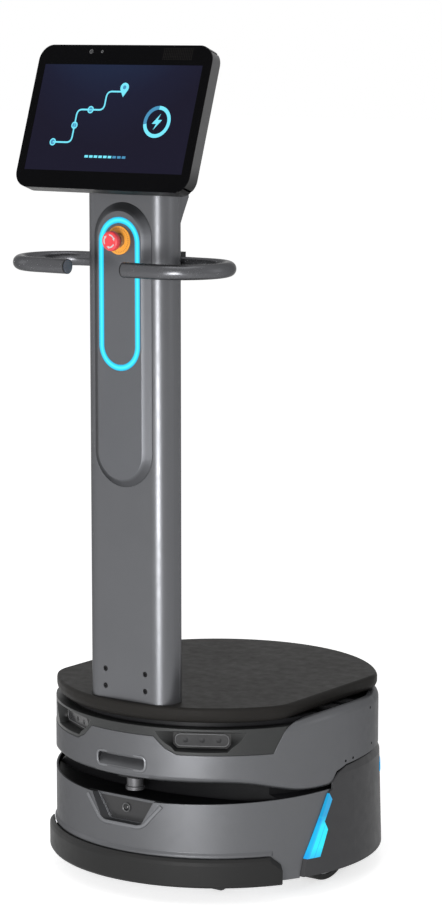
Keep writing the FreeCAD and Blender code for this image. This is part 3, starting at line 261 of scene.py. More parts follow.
looks = {
    "bodyGrey": {"colour": (0.106, 0.108, 0.114), "rough": 0.38, "metallic": 0.75, "grain": 1400,
                 "depth": 0.05, "edge": 1 * mm, "shift": 0.02, "tint": 0.35},
    # the rim grey below is the body grey made lighter, a painted highlight on the pod rim and the slot lip
    "rimGrey": {"colour": (0.165, 0.168, 0.177), "rough": 0.32, "metallic": 0.75, "grain": 1400,
                "depth": 0.03, "edge": 0.4 * mm, "shift": 0.02, "tint": 0.35},
    "columnGrey": {"colour": (0.112, 0.114, 0.121), "rough": 0.34, "metallic": 0.75, "grain": 1400,
                   "depth": 0.04, "edge": 0.8 * mm, "shift": 0.02, "tint": 0.35},
    "barGrey": {"colour": (0.09, 0.091, 0.097), "rough": 0.27, "metallic": 0.78, "grain": 1500,
                "depth": 0.015, "shift": 0.02, "tint": 0.35},
    "panelDark": {"colour": (0.037, 0.037, 0.039), "rough": 0.55, "grain": 1200, "depth": 0.3,
                  "edge": 0.8 * mm, "shift": 0.05, "specular": 0.22},
    "blackPlastic": {"colour": (0.01, 0.01, 0.011), "rough": 0.42, "grain": 1200, "depth": 0.2,
                     "shift": 0.1, "specular": 0.15},
    "bandPlastic": {"colour": (0.024, 0.025, 0.025), "rough": 0.45, "grain": 1300, "depth": 0.25,
                    "edge": 1 * mm, "shift": 0.05, "specular": 0.25},
    "coreBlack": {"colour": (0.003, 0.003, 0.0035), "rough": 0.5, "grain": 1200, "depth": 0.2,
                  "shift": 0.1, "specular": 0.08},
    "deckBlack": {"colour": (0.017, 0.016, 0.015), "rough": 0.5, "grain": 700, "depth": 0.4,
                  "edge": 0.8 * mm, "shift": 0.06, "specular": 0.04},
    "bumperSkin": {"colour": (0.018, 0.018, 0.018), "rough": 0.5, "depth": 0.25, "edge": 1.2 * mm,
                   "shift": 0.05, "specular": 0.12},
    "controlPanel": {"colour": (0.116, 0.119, 0.128), "rough": 0.34, "metallic": 0.75, "grain": 1500,
                     "depth": 0.04, "edge": 1 * mm, "shift": 0.02, "tint": 0.35},
    "housing": {"colour": (0.085, 0.085, 0.087), "rough": 0.4, "metallic": 0.4, "grain": 1300,
                "depth": 0.2, "edge": 0.8 * mm, "shift": 0.05, "specular": 0.3},
    "bezelGloss": {"colour": (0.0026, 0.0026, 0.003), "rough": 0.2, "grain": 300, "depth": 0.01,
                   "shift": 0.1, "specular": 0.012},
    "tyreRubber": {"colour": (0.018, 0.018, 0.018), "rough": 0.7, "grain": 500, "depth": 0.5,
                   "shift": 0.2, "specular": 0.2},
    "casterRubber": {"colour": (0.045, 0.045, 0.047), "rough": 0.6, "grain": 500, "depth": 0.4,
                     "shift": 0.15, "specular": 0.2},
    "castMetal": {"colour": (0.32, 0.33, 0.34), "rough": 0.42, "metallic": 0.9, "grain": 600,
                  "depth": 0.4, "shift": 0.08},
    "plainSteel": {"colour": (0.3, 0.3, 0.31), "rough": 0.35, "metallic": 0.95, "grain": 800,
                   "depth": 0.2, "edge": 0.5 * mm, "shift": 0.08},
    "blackSteel": {"colour": (0.02, 0.02, 0.021), "rough": 0.5, "metallic": 0.3, "grain": 800,
                   "depth": 0.2, "edge": 0.5 * mm, "shift": 0.08, "specular": 0.2},
    "goldPlate": {"colour": (0.62, 0.42, 0.14), "rough": 0.3, "metallic": 0.95, "grain": 800,
                  "depth": 0.1, "edge": 0.4 * mm, "shift": 0.05},
    "windowBlack": {"colour": (0.034, 0.034, 0.035), "rough": 0.2, "grain": 300, "depth": 0.02,
                    "edge": 0.4 * mm, "shift": 0.04, "specular": 0.2},
    "lensBlack": {"colour": (0.004, 0.004, 0.005), "rough": 0.08, "grain": 300, "depth": 0.0,
                  "edge": 0.3 * mm, "shift": 0.04},
    "scannerGrey": {"colour": (0.1, 0.1, 0.105), "rough": 0.35, "metallic": 0.7, "depth": 0.05,
                    "edge": 0.5 * mm, "shift": 0.03},
    "collarMetal": {"colour": (0.3, 0.25, 0.19), "rough": 0.4, "metallic": 0.8, "depth": 0.1,
                    "edge": 0.4 * mm, "shift": 0.05},
    "grilleGrey": {"colour": (0.015, 0.014, 0.013), "rough": 0.6, "grain": 300, "depth": 0.0,
                   "edge": 0, "shift": 0.05, "specular": 0.02},
    "plugBlue": {"colour": (0.055, 0.065, 0.085), "rough": 0.5, "depth": 0.2, "edge": 0.4 * mm,
                 "shift": 0.05},
    "windowRim": {"colour": (0.085, 0.086, 0.088), "rough": 0.4, "metallic": 0.3, "depth": 0.1,
                  "edge": 0.3 * mm, "shift": 0.05},
    "stopRed": {"colour": (0.62, 0.035, 0.045), "rough": 0.38, "coat": 0.1, "grain": 600, "depth": 0.1,
                "edge": 0.8 * mm, "shift": 0.06},
    "stopYellow": {"colour": (0.7, 0.29, 0.035), "rough": 0.45, "grain": 600, "depth": 0.1,
                   "edge": 0.3 * mm, "shift": 0.05},
    "tickBrown": {"colour": (0.2, 0.09, 0.02), "rough": 0.5, "grain": 600, "depth": 0.1, "edge": 0,
                  "shift": 0.05},
    "boardGreen": {"colour": (0.02, 0.09, 0.04), "rough": 0.5},
    # the hole black below is painted shade: flat dull discs laid on the shell in place of its screw holes
    "holeBlack": {"colour": (0.002, 0.002, 0.002), "rough": 0.8, "grain": 300, "depth": 0.1,
                  "edge": 0, "shift": 0.1, "specular": 0.0},
    "lightMark": {"colour": (0.45, 0.46, 0.47), "rough": 0.5, "depth": 0.1, "edge": 0.2 * mm,
                  "shift": 0.04},
}
finishes = {name: grained(name, **look) for name, look in looks.items()}


def lit(name, colour=(0, 1, 1)):
    finish = Finish(name)
    finish.set(Base_Color=(0.0, 0.02, 0.03), Roughness=0.4, Emission_Color=colour, Emission_Strength=1.0)
    return finish


def stadiumReach(finish, low, high):
    # the distance from the middle line of an upright stadium, and the stadium's own half width
    half = (high.x - low.x) / 2
    x, _, z = finish.axes()
    away = z - z.biggest(low.z + half).smallest(high.z - half)
    return (x * x + away * away).math("SQRT"), half


ringLook = {"band": 9 * mm, "stops": [
    (0.0, (0.08, 0.93, 1.0)), (0.5, (0.0, 0.80, 1.0)), (1.0, (0.0, 0.36, 0.72))]}


def ringFinish():
    # a stadium of light: brightest along its middle line, bluer at its edges
    finish = lit("ringLight")
    low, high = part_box("light_ring")
    reach, half = stadiumReach(finish, low, high)
    halfBand = ringLook["band"] / 2
    edge = (reach - (half - halfBand)).size() / halfBand
    glow = finish.node("ShaderNodeValToRGB", {"stops": ringLook["stops"]}, in0=edge)
    return finish.set(Emission_Color=glow)


sideLook = {
    "stops": [(0.0, (0.0, 0.50, 0.90)), (0.16, (0.0, 0.84, 1.0)), (0.5, (0.0, 0.80, 1.0)),
              (0.66, (0.0, 0.34, 0.66))],
    "back": 6 * mm,  # the seam's top end lies this far before the back of the strip
    # widths and insets below are in mm behind the seam, tops and bottoms are shares of the height
    "seam": {"width": 3.0, "top": 0.62, "strength": 0.6, "colour": (0.0, 0.25, 0.80)},
    "lowLine": {"from": 12.0, "half": 0.5, "top": 0.5},
    "highLine": {"from": 5.0, "half": 0.4, "bottom": 0.6},
    "lines": {"strength": 0.7, "colour": (0.0, 0.28, 0.70)},
}


def sideLightFinish():
    # bright cyan with a deeper strip along the seam and fine lines of the guide behind it
    finish = lit("sideLight")
    low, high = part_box("side_light_left")
    _, y, z = finish.axes()
    rise = (z - low.z) / (high.z - low.z)
    seam, lines, lower, upper = [sideLook[key] for key in ("seam", "lines", "lowLine", "highLine")]
    inset = (y - (low.y + rise * (high.y - sideLook["back"] - low.y))) / mm  # mm behind the seam
    glow = finish.node("ShaderNodeValToRGB", {"stops": sideLook["stops"]}, in0=rise)
    strip = inset.below(seam["width"]) * rise.below(seam["top"])
    guide = (inset - lower["from"]).size().below(lower["half"]) * rise.below(lower["top"]) \
        + (inset - upper["from"]).size().below(upper["half"]) * rise.above(upper["bottom"])
    glow = finish.blend(strip * seam["strength"], glow, seam["colour"])
    glow = finish.blend(guide.smallest(1.0) * lines["strength"], glow, lines["colour"])
    return finish.set(Emission_Color=glow)


screenLook = {
    "half": (143 * mm, 77 * mm), "aside": 20 * mm, "bend": 0.9, "range": (-0.5, 1.0),
    "stops": [(0.0, (0.008, 0.007, 0.018)), (0.55, (0.009, 0.010, 0.027)), (1.0, (0.011, 0.018, 0.046))],
    "glass": (0.004, 0.004, 0.006), "rough": 0.18, "specular": 0.01,
}


def screenFinish():
    # dark glass with a faint blue field that brightens towards its top, a little to one side
    finish = Finish("screenGlass")
    middle = middleOf("display_panel")
    wide, tall = screenLook["half"]
    x, _, z = finish.axes()
    across = (x - middle.x + screenLook["aside"]) / wide
    up = (z - middle.z) / tall
    field = finish.mapped(up - across * across * screenLook["bend"], *screenLook["range"], 0.0, 1.0)
    glow = finish.node("ShaderNodeValToRGB", {"stops": screenLook["stops"]}, in0=field)
    return finish.set(Base_Color=screenLook["glass"], Roughness=screenLook["rough"], Emission_Color=glow,
                      Emission_Strength=1.0, Specular_IOR_Level=screenLook["specular"])


finishes["ringLight"] = ringFinish()
finishes["sideLight"] = sideLightFinish()
finishes["screenGlass"] = screenFinish()


def paintShade(name, share):
    # paints shade: scales a finish's colour by a share that changes over the piece
    finish = finishes[name]
    finish.set(Base_Color=finish.scaled(finish.held("Base Color"), share))


paintedShade = {  # painted shade: distances that a finish changes between, and its share of the colour at each
    "sensor_band": {"distances": (240.5 * mm, 251.2 * mm), "shares": (0.12, 1.0)},
    "control_panel": {"insets": (13 * mm, 8 * mm), "shares": (1.0, 0.55)},
    "display_housing": {"heights": (14 * mm, 44 * mm), "shares": (0.08, 1.0)},
}


def bandRecessShade():
    # painted shade: the outer wall is satin, and whatever lies deeper than it is painted nearly black
    finish, look = finishes["bandPlastic"], paintedShade["sensor_band"]
    x, y, _ = finish.axes()
    deep = y - baseY
    away = (x * x + deep * deep).math("SQRT")
    paintShade("bandPlastic", finish.mapped(away, *look["distances"], *look["shares"]))


def panelBevelShade():
    # painted shade: the bevel that runs round the control panel's flat face is painted darker than the face
    finish, look = finishes["controlPanel"], paintedShade["control_panel"]
    low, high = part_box("control_panel")
    reach, half = stadiumReach(finish, low, high)
    first, last = [half - inset for inset in look["insets"]]
    paintShade("controlPanel", finish.mapped(reach, first, last, *look["shares"]))


def housingUnderShade():
    # painted shade: the moulded back is painted darker where it curves under the screen
    finish, look = finishes["housing"], paintedShade["display_housing"]
    _, _, z = finish.axes()
    low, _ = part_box("display_housing")
    first, last = [low.z + height for height in look["heights"]]
    paintShade("housing", finish.mapped(z, first, last, *look["shares"]))


tread = {"blocks": 44, "inner": 66 * mm, "slant": 18.0, "blockHalf": 0.40, "strength": 0.9,
         "depth": 1.2 * mm}


def treadFinish():
    # slanted tread blocks pressed into the rolling face
    finish = finishes["tyreRubber"]
    middle = middleOf("drive_axles")
    x, y, z = finish.axes()
    across, up = y - middle.y, z - middle.z
    turn = up.math("ARCTAN2", across) * (tread["blocks"] / (2 * math.pi)) + x * tread["slant"]
    block = (turn.math("FRACT") - 0.5).size().below(tread["blockHalf"])
    outside = (across * across + up * up).math("SQRT").above(tread["inner"])
    pressed = finish.node("ShaderNodeBump", Height=block * outside, Strength=tread["strength"],
                          Distance=tread["depth"], Normal=finish.held("Normal"))
    finish.set(Normal=pressed)


treadFinish()
bandRecessShade()
panelBevelShade()
housingUnderShade()
finishes["tailLight"] = lit("tailLight", (0.0, 0.36, 0.75))
finishes["artGlow"] = lit("artGlow", (0.16, 0.78, 0.95))
finishes["artDeep"] = lit("artDeep", (0.03, 0.22, 0.42))
print("finishes made:", len(finishes))

# every CAD piece that shows keeps its shape and gets its finish

nodeFinish = {
    "bodyGrey": ["lower_front_shell", "upper_shell"],
    "columnGrey": ["column_front_cover", "column_rear_cover"],
    "barGrey": ["handlebar"],
    "panelDark": ["side_panel_left", "side_panel_right", "rear_panel"],
    "scannerGrey": ["lidar_head"],
    "lensBlack": ["front_camera_lens"],
    "blackPlastic": ["shoulder_cover", "lidar_base", "bar_plugs", "bar_clamps",
                     "battery_pack", "upper_floor", "bumper_guides", "power_button"],
    "bandPlastic": ["sensor_band"],
    "coreBlack": ["waist_core"],
    "deckBlack": ["deck_plate"],
    "bumperSkin": ["bumper"],
    "controlPanel": ["control_panel"],
    "housing": ["display_housing"],
    "bezelGloss": ["display_bezel"],
    "screenGlass": ["display_panel"],
    "windowBlack": ["depth_camera_left", "depth_camera_right", "front_camera_cover"],
    "tyreRubber": ["drive_tyre_left", "drive_tyre_right"],
    "casterRubber": [name for name in nodes if name.startswith("caster_wheel")],
    "castMetal": ["drive_hub_left", "drive_hub_right"],
    "blackSteel": ["top_tray", "deck_frame", "deck_posts", "foot_screws", "display_bracket"],
    "plainSteel": ["base_plate", "axle_bracket_left", "axle_bracket_right", "drive_axles", "column_spine"]
    + [name for name in nodes if name.startswith("caster_fork")],
    "boardGreen": ["main_board"],
    "goldPlate": ["charge_contacts"],
    "collarMetal": ["stop_collar"],
    "stopRed": ["stop_button"],
    "stopYellow": ["stop_plate"],
    "ringLight": ["light_ring"],
    "sideLight": ["side_light_left", "side_light_right"],
    "tailLight": ["rear_lights"],
}
for finishName, names in nodeFinish.items():
    for name in names:
        shown = nodes[name]
        if not shown.material_slots:
            shown.data.materials.append(None)
        for slot in shown.material_slots:
            slot.link = "OBJECT"
            slot.material = finishes[finishName].material
print("CAD pieces finished:", sum(len(names) for names in nodeFinish.values()))


# making meshes


def meshPiece(name, bm, finishName, body, smooth=True, angle=35.0):
    bmesh.ops.remove_doubles(bm, verts=bm.verts, dist=1e-6)
    bmesh.ops.recalc_face_normals(bm, faces=bm.faces)
    data = bpy.data.meshes.new(name)
    bm.to_mesh(data)
    bm.free()
    declare(name, data, finishName, body, smooth, angle)


def declare(name, data, finishName, body, smooth=True, angle=35.0, replaces=()):
    piece = bpy.data.objects.new(name, data)
    bpy.context.scene.collection.objects.link(piece)
    if smooth:
        data.shade_smooth()
        data.set_sharp_from_angle(angle=math.radians(angle))
    data.materials.clear()
    data.materials.append(finishes[finishName].material)
    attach(piece, body)
    if replaces:
        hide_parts(*replaces)


flat = Matrix.Identity(4)  # for shapes that are drawn in their own plane


def axesAt(place, across, up, out):
    return Matrix((
        (across.x, up.x, out.x, place.x), (across.y, up.y, out.y, place.y),
        (across.z, up.z, out.z, place.z), (0, 0, 0, 1)))


def plate(bm, points, low, high, matrix):
    # a flat outline made solid between two heights
    rings = [[bm.verts.new(matrix @ Vector((x, y, level))) for x, y in points] for level in (low, high)]
    count = len(points)
    bm.faces.new(rings[1])
    bm.faces.new(list(reversed(rings[0])))
    for here in range(count):
        there = (here + 1) % count
        bm.faces.new((rings[0][here], rings[0][there], rings[1][there], rings[1][here]))


def moulding(bm, points, section, matrix, closed=False):
    # sweeps a section of (aside, height) points along a flat path
    count = len(points)
    rows = []
    for here in range(count):
        before = points[(here - 1) % count] if closed or here else points[here]
        after = points[(here + 1) % count] if closed or here < count - 1 else points[here]
        along = Vector((after[0] - before[0], after[1] - before[1])).normalized()
        side = Vector((-along.y, along.x))
        rows.append([bm.verts.new(matrix @ Vector((*(Vector(points[here]) + side * aside), level)))
                     for aside, level in section])
    for here in range(count if closed else count - 1):
        first, second = rows[here], rows[(here + 1) % count]
        for corner in range(len(section)):
            after = (corner + 1) % len(section)
            bm.faces.new((first[corner], first[after], second[after], second[corner]))
    if not closed:
        bm.faces.new(list(reversed(rows[0])))
        bm.faces.new(rows[-1])


def ribbon(bm, points, width, low, high, matrix, closed=False):
    half = width / 2
    moulding(bm, points, [(-half, low), (half, low), (half, high), (-half, high)], matrix, closed)


def bead(width, sunk, proud):
    # a rounded section for a moulding
    half = width / 2
    return [(-half, -sunk), (half, -sunk), (half, proud * 0.4), (half * 0.6, proud * 0.85), (0, proud),
            (-half * 0.6, proud * 0.85), (-half, proud * 0.4)]


def spoke(radius, degrees):
    return radius * math.cos(math.radians(degrees)), radius * math.sin(math.radians(degrees))


def arc(middle, radius, start, end, steps):
    spokes = [spoke(radius, start + (end - start) * step / steps) for step in range(steps + 1)]
    return [(middle[0] + x, middle[1] + y) for x, y in spokes]


def roundedBox(halfWidth, halfHeight, radius, steps):
    corners = [(1, 1, 0), (-1, 1, 90), (-1, -1, 180), (1, -1, 270)]
    return [point for sideways, upwards, start in corners
            for point in arc((sideways * (halfWidth - radius), upwards * (halfHeight - radius)), radius,
                             start, start + 90, steps)]


def wrap(vertices, radius):
    # lays flat (arc length, height, proud) points round the base
    for vertex in vertices:
        along, height, proud = vertex.co
        reach = radius + proud
        vertex.co = (reach * math.sin(along / radius), baseY - reach * math.cos(along / radius), height)


def disc(middle, radius, steps):
    # a ring of points that doesn't repeat its first
    return arc(middle, radius, 0, 360 * (steps - 1) / steps, steps - 1)


def lathe(bm, profile, steps, matrix):
    # turns (radius, height) points about the matrix's third axis
    rings = []
    for radius, height in profile:
        spokes = [spoke(radius, 360 * step / steps) for step in range(steps)] if radius else [(0, 0)]
        rings.append([bm.verts.new(matrix @ Vector((x, y, height))) for x, y in spokes])
    for first, second in zip(rings, rings[1:]):
        for step in range(steps):
            after = (step + 1) % steps
            corners = [first[step % len(first)], first[after % len(first)],
                       second[after % len(second)], second[step % len(second)]]
            unique = list(dict.fromkeys(corners))
            if len(unique) > 2:
                bm.faces.new(unique)


def spanOn(node, axis):
    reach = [vertex.co.dot(axis) for vertex in nodes[node].data.vertices]
    return min(reach), max(reach)


def frontOf(node, across, up, out):
    # the middle of a node's front, with its own axes
    middles = [sum(spanOn(node, axis)) / 2 for axis in (across, up)]
    return axesAt(across * middles[0] + up * middles[1] + out * spanOn(node, out)[1], across, up, out)


# what repeats is made with Geometry Nodes

copiedAngle = 40.0  # edges of a repeated shape that turn more than this stay sharp


class Grower:
    # one geometry tree with named inputs, applied to a plain mesh
    def __init__(self, name):
        self.group = bpy.data.node_groups.new(name, "GeometryNodeTree")
        self.values = {}
        self.group.interface.new_socket("Geometry", in_out="OUTPUT", socket_type="NodeSocketGeometry")
        self.entry = self.group.nodes.new("NodeGroupInput")
        self.exit = self.group.nodes.new("NodeGroupOutput")

    def input(self, name, kind, value):
        socket = self.group.interface.new_socket(name, in_out="INPUT", socket_type="NodeSocket" + kind)
        self.values[socket.identifier] = value
        return next(out for out in self.entry.outputs if out.identifier == socket.identifier)

    def node(self, kind, settings=None, out=0, **inputs):
        made = self.group.nodes.new(kind)
        for key, value in (settings or {}).items():
            setattr(made, key, value)
        for key, value in inputs.items():
            socket = made.inputs[key.replace("_", " ")]
            if isinstance(value, bpy.types.NodeSocket):
                self.group.links.new(value, socket)
            else:
                socket.default_value = value
        return made.outputs[out]

    def grow(self, geometry, material):
        whole = self.node("GeometryNodeRealizeInstances", Geometry=geometry)
        whole = self.node("GeometryNodeSetMaterial", Geometry=whole,
                          Material=self.input("Material", "Material", material))
        self.group.links.new(whole, self.exit.inputs[0])
        holder = bpy.data.objects.new(self.group.name, bpy.data.meshes.new(self.group.name))
        bpy.context.scene.collection.objects.link(holder)
        modifier = holder.modifiers.new("grow", "NODES")
        modifier.node_group = self.group
        for identifier, value in self.values.items():
            modifier[identifier] = value
        shape = holder.evaluated_get(bpy.context.evaluated_depsgraph_get())
        data = bpy.data.meshes.new_from_object(shape)
        bpy.data.objects.remove(holder)
        return data

    def copied(self, points, source, finishName, **turn):
        # copies of a shape on points, as one mesh
        shape = self.node("GeometryNodeObjectInfo", out=4, Object=self.input("Shape", "Object", source))
        copies = self.node("GeometryNodeInstanceOnPoints", Points=points, Instance=shape, **turn)
        data = self.grow(copies, finishes[finishName].material)
        bpy.data.objects.remove(source)
        return data


def sourceShape(name, build):
    bm = bmesh.new()
    build(bm)
    bmesh.ops.recalc_face_normals(bm, faces=bm.faces)
    data = bpy.data.meshes.new(name)
    bm.to_mesh(data)
    bm.free()
    source = bpy.data.objects.new(name, data)
    bpy.context.scene.collection.objects.link(source)
    return source


def gridOf(name, source, count, size, matrix, finishName, body, keep=None, replaces=()):
    # copies of a shape on a flat grid, those within keep of its middle if that is given
    grower = Grower(name)
    grid = grower.node("GeometryNodeMeshGrid",
                       Size_X=grower.input("Width", "Float", size[0]),
                       Size_Y=grower.input("Height", "Float", size[1]),
                       Vertices_X=grower.input("Columns", "Int", count[0]),
                       Vertices_Y=grower.input("Rows", "Int", count[1]))
    if keep:
        corner = grower.node("GeometryNodeInputPosition")
        reach = grower.node("ShaderNodeVectorMath", {"operation": "LENGTH"}, out=1, Vector=corner)
        outside = grower.node("FunctionNodeCompare", {"operation": "GREATER_THAN"}, A=reach,
                              B=grower.input("Keep within", "Float", keep))
        grid = grower.node("GeometryNodeDeleteGeometry", {"domain": "POINT"}, Geometry=grid,
                           Selection=outside)
    data = grower.copied(grid, source, finishName)
    data.transform(matrix)
    declare(name, data, finishName, body, angle=copiedAngle, replaces=replaces)


def circleOf(name, source, count, radius, matrix, finishName, body):
    # copies of a shape round a circle, each turned to face outwards
    grower = Grower(name)
    ring = grower.node("GeometryNodeMeshCircle", Vertices=grower.input("Count", "Int", count),
                       Radius=grower.input("Radius", "Float", radius))
    corner = grower.node("GeometryNodeInputPosition")
    turn = grower.node("FunctionNodeAlignRotationToVector", {"axis": "X"}, Vector=corner)
    data = grower.copied(ring, source, finishName, Rotation=turn)
    data.transform(matrix)
    declare(name, data, finishName, body, angle=copiedAngle)


def scattered(name, source, places, finishName, body):
    # copies of a shape at chosen (place, outward) pairs, each turned to face outwards
    data = bpy.data.meshes.new(name + "Places")
    data.from_pydata([tuple(place) for place, _ in places], [], [])
    facing = data.attributes.new("outward", "FLOAT_VECTOR", "POINT")
    for spot, (_, outward) in zip(facing.data, places):
        spot.vector = outward
    spots = bpy.data.objects.new(name + "Places", data)
    bpy.context.scene.collection.objects.link(spots)
    grower = Grower(name)
    points = grower.node("GeometryNodeObjectInfo", out=4, Object=grower.input("Places", "Object", spots))
    outward = grower.node("GeometryNodeInputNamedAttribute", {"data_type": "FLOAT_VECTOR"}, Name="outward")
    turn = grower.node("FunctionNodeAlignRotationToVector", {"axis": "Z"}, Vector=outward)
    made = grower.copied(points, source, finishName, Rotation=turn)
    bpy.data.objects.remove(spots)
    declare(name, made, finishName, body, angle=copiedAngle)


def roundedPath(points, radius, steps=8):
    # a path whose inner corners are turned in curves
    path = [Vector(points[0])]
    for before, here, after in zip(points, points[1:], points[2:]):
        here = Vector(here)
        first = here + (Vector(before) - here).normalized() * radius
        last = here + (Vector(after) - here).normalized() * radius
        for step in range(steps + 1):
            share = step / steps
            path.append(first * (1 - share) ** 2 + here * 2 * share * (1 - share) + last * share ** 2)
    path.append(Vector(points[-1]))
    return [tuple(point) for point in path]


# display: a drawn route, a charge gauge and a progress bar on the glass

drawing = {
    "lift": 0.25 * mm, "step": 0.1 * mm,
    "line": 2.4 * mm, "bend": 9 * mm,
    "route": [(-100 * mm, -38 * mm), (-66 * mm, -38 * mm), (-66 * mm, 12 * mm), (-18 * mm, 12 * mm),
              (-18 * mm, 40 * mm), (12 * mm, 40 * mm)],
    "stops": [(-100 * mm, -38 * mm), (-66 * mm, -12 * mm), (-42 * mm, 12 * mm)],
    "stopRadius": 4.6 * mm, "stopLine": 1.8 * mm, "stopEye": 3.7 * mm,
    "pin": (12 * mm, 46 * mm), "pinRadius": 7.5 * mm, "pinTurn": (-35, 215), "pinTip": (12 * mm, 32 * mm),
    "pinEye": (12 * mm, 46.5 * mm), "pinEyeRadius": 3.0 * mm,
    "gauge": (82 * mm, -4 * mm), "gaugeRadius": 21 * mm, "gaugeLine": 5.5 * mm, "gaugeTurn": (90, -170),
    "bolt": [(82.8 * mm, -1 * mm), (90.5 * mm, -1 * mm), (77.5 * mm, -16 * mm), (81.2 * mm, -7 * mm),
             (73.5 * mm, -7 * mm), (86.5 * mm, 8 * mm)],
    "barCount": 9, "barDone": 6, "barLeft": -36 * mm, "barStep": 8.5 * mm, "barSize": (6.2 * mm, 3.5 * mm),
    "barLow": -60 * mm,
}
panelFront = frontOf("display_panel", rightward, screenUp, screenOut)
bezelFront = frontOf("display_bezel", rightward, screenUp, screenOut)


def screenDrawing():
    bright, deep = bmesh.new(), bmesh.new()
    lift = drawing["lift"]
    above = lift + drawing["step"]

    ribbon(bright, roundedPath(drawing["route"], drawing["bend"]), drawing["line"], 0, lift, panelFront)
    for spot in drawing["stops"]:
        ribbon(bright, disc(spot, drawing["stopRadius"], 28), drawing["stopLine"], 0, above, panelFront,
               closed=True)
        plate(deep, disc(spot, drawing["stopEye"], 24), 0, lift, panelFront)

    pin = arc(drawing["pin"], drawing["pinRadius"], *drawing["pinTurn"], 26) + [drawing["pinTip"]]
    plate(bright, pin, 0, lift + drawing["step"] / 2, panelFront)
    plate(deep, disc(drawing["pinEye"], drawing["pinEyeRadius"], 20), lift, lift + 1.5 * drawing["step"],
          panelFront)

    gauge, radius, line = drawing["gauge"], drawing["gaugeRadius"], drawing["gaugeLine"]
    ribbon(deep, disc(gauge, radius, 72), line, 0, lift, panelFront, closed=True)
    ribbon(bright, arc(gauge, radius, *drawing["gaugeTurn"], 60), line, 0, above, panelFront)
    plate(bright, drawing["bolt"], 0, lift, panelFront)

    wide, tall = drawing["barSize"]
    for place in range(drawing["barCount"]):
        left, low = drawing["barLeft"] + place * drawing["barStep"], drawing["barLow"]
        plate(bright if place < drawing["barDone"] else deep,
              [(left, low), (left + wide, low), (left + wide, low + tall), (left, low + tall)],
              0, lift, panelFront)
    meshPiece("screenDrawingBright", bright, "artGlow", "chassis", smooth=False)
    meshPiece("screenDrawingDeep", deep, "artDeep", "chassis", smooth=False)


screenDrawing()

# display bezel: speaker dots, camera and light sensor

bezel = {
    "dots": (17, 8), "dotsSize": (50 * mm, 16 * mm), "dotsMiddle": (95.5 * mm, 95.5 * mm),
    "dotRadius": 0.75 * mm, "dotSunk": 0.35 * mm, "dotProud": 0.03 * mm,
    "eyes": [(-62 * mm, 3.4 * mm), (-42 * mm, 2.2 * mm)], "eyeRise": 98.5 * mm,  # place and radius
    "ring": [(0, 0), (0, 0.12 * mm), (-0.5 * mm, 0.2 * mm), (-0.9 * mm, 0.05 * mm)],  # from the radius
    "domeHeights": (0.02 * mm, 0.12 * mm, 0.16 * mm),
}


def speakerDots():
    dot = sourceShape("dotShape", lambda bm: plate(bm, disc((0, 0), bezel["dotRadius"], 10),
                                                    -bezel["dotSunk"], bezel["dotProud"], flat))
    gridOf("speakerDots", dot, bezel["dots"], bezel["dotsSize"],
           bezelFront @ Matrix.Translation((*bezel["dotsMiddle"], 0)), "grilleGrey", "chassis")


def displayEyes():
    rings, eyes = bmesh.new(), bmesh.new()
    for across, radius in bezel["eyes"]:
        spot = bezelFront @ Matrix.Translation((across, bezel["eyeRise"], 0))
        ring = [(radius + aside, height) for aside, height in bezel["ring"]]
        lathe(rings, ring, 32, spot)
        lathe(eyes, list(zip((ring[-1][0], radius / 2, 0), bezel["domeHeights"])), 32, spot)
    meshPiece("displayCameraRings", rings, "housing", "chassis")
    meshPiece("displayCameraEyes", eyes, "windowBlack", "chassis")


speakerDots()
displayEyes()
print("display dressed")

# emergency stop: turning arrows on the button, a ring of ticks on the yellow disc

stop = {
    "arrows": 3, "arrowRadius": 9.2 * mm, "arrowWidth": 2.0 * mm, "arrowTurn": 62, "headTurn": 26,
    "headHalf": 2.4 * mm, "sunk": 0.6 * mm, "proud": 0.12 * mm,
    "ticks": 36, "tickRing": 17.6 * mm, "tickHalf": (1.1 * mm, 0.35 * mm), "tickSunk": 0.05 * mm,
    "tickProud": 0.08 * mm,
}


def stopArrows():
    face = frontOf("stop_button", rightward, upward, towardsFront)
    radius, half = stop["arrowRadius"], stop["headHalf"]
    levels = (-stop["sunk"], stop["proud"], face)
    arrows = bmesh.new()
    for turn in range(stop["arrows"]):
        start = 90 + 360 / stop["arrows"] * turn
        end = start - stop["arrowTurn"]
        ribbon(arrows, arc((0, 0), radius, start, end, 14), stop["arrowWidth"], *levels)
        plate(arrows, [spoke(radius + half, end), spoke(radius - half, end),
                       spoke(radius, end - stop["headTurn"])], *levels)
    meshPiece("stopArrows", arrows, "lightMark", "stop_button", smooth=False)


def stopTicks():
    face = frontOf("stop_plate", rightward, upward, towardsFront)
    long, wide = stop["tickHalf"]
    tick = sourceShape("tickShape", lambda bm: plate(
        bm, [(-long, -wide), (long, -wide), (long, wide), (-long, wide)], -stop["tickSunk"],
        stop["tickProud"], flat))
    circleOf("stopTicks", tick, stop["ticks"], stop["tickRing"], face, "tickBrown", "chassis")


stopArrows()
stopTicks()
print("stop button dressed")

# column foot screws, with hex sockets

screws = {"count": (2, 2), "apart": (74 * mm, 26 * mm), "radius": 4.0 * mm, "long": 5 * mm,
          "round": 0.5 * mm, "mouth": 2.5 * mm, "socket": 2.24 * mm, "socketWall": 0.5 * mm,
          "socketDeep": 2.2 * mm, "floor": 2.2 * mm, "floorThick": 0.2 * mm}


def hexagon(radius):
    return [spoke(radius, 60 * corner) for corner in range(6)]


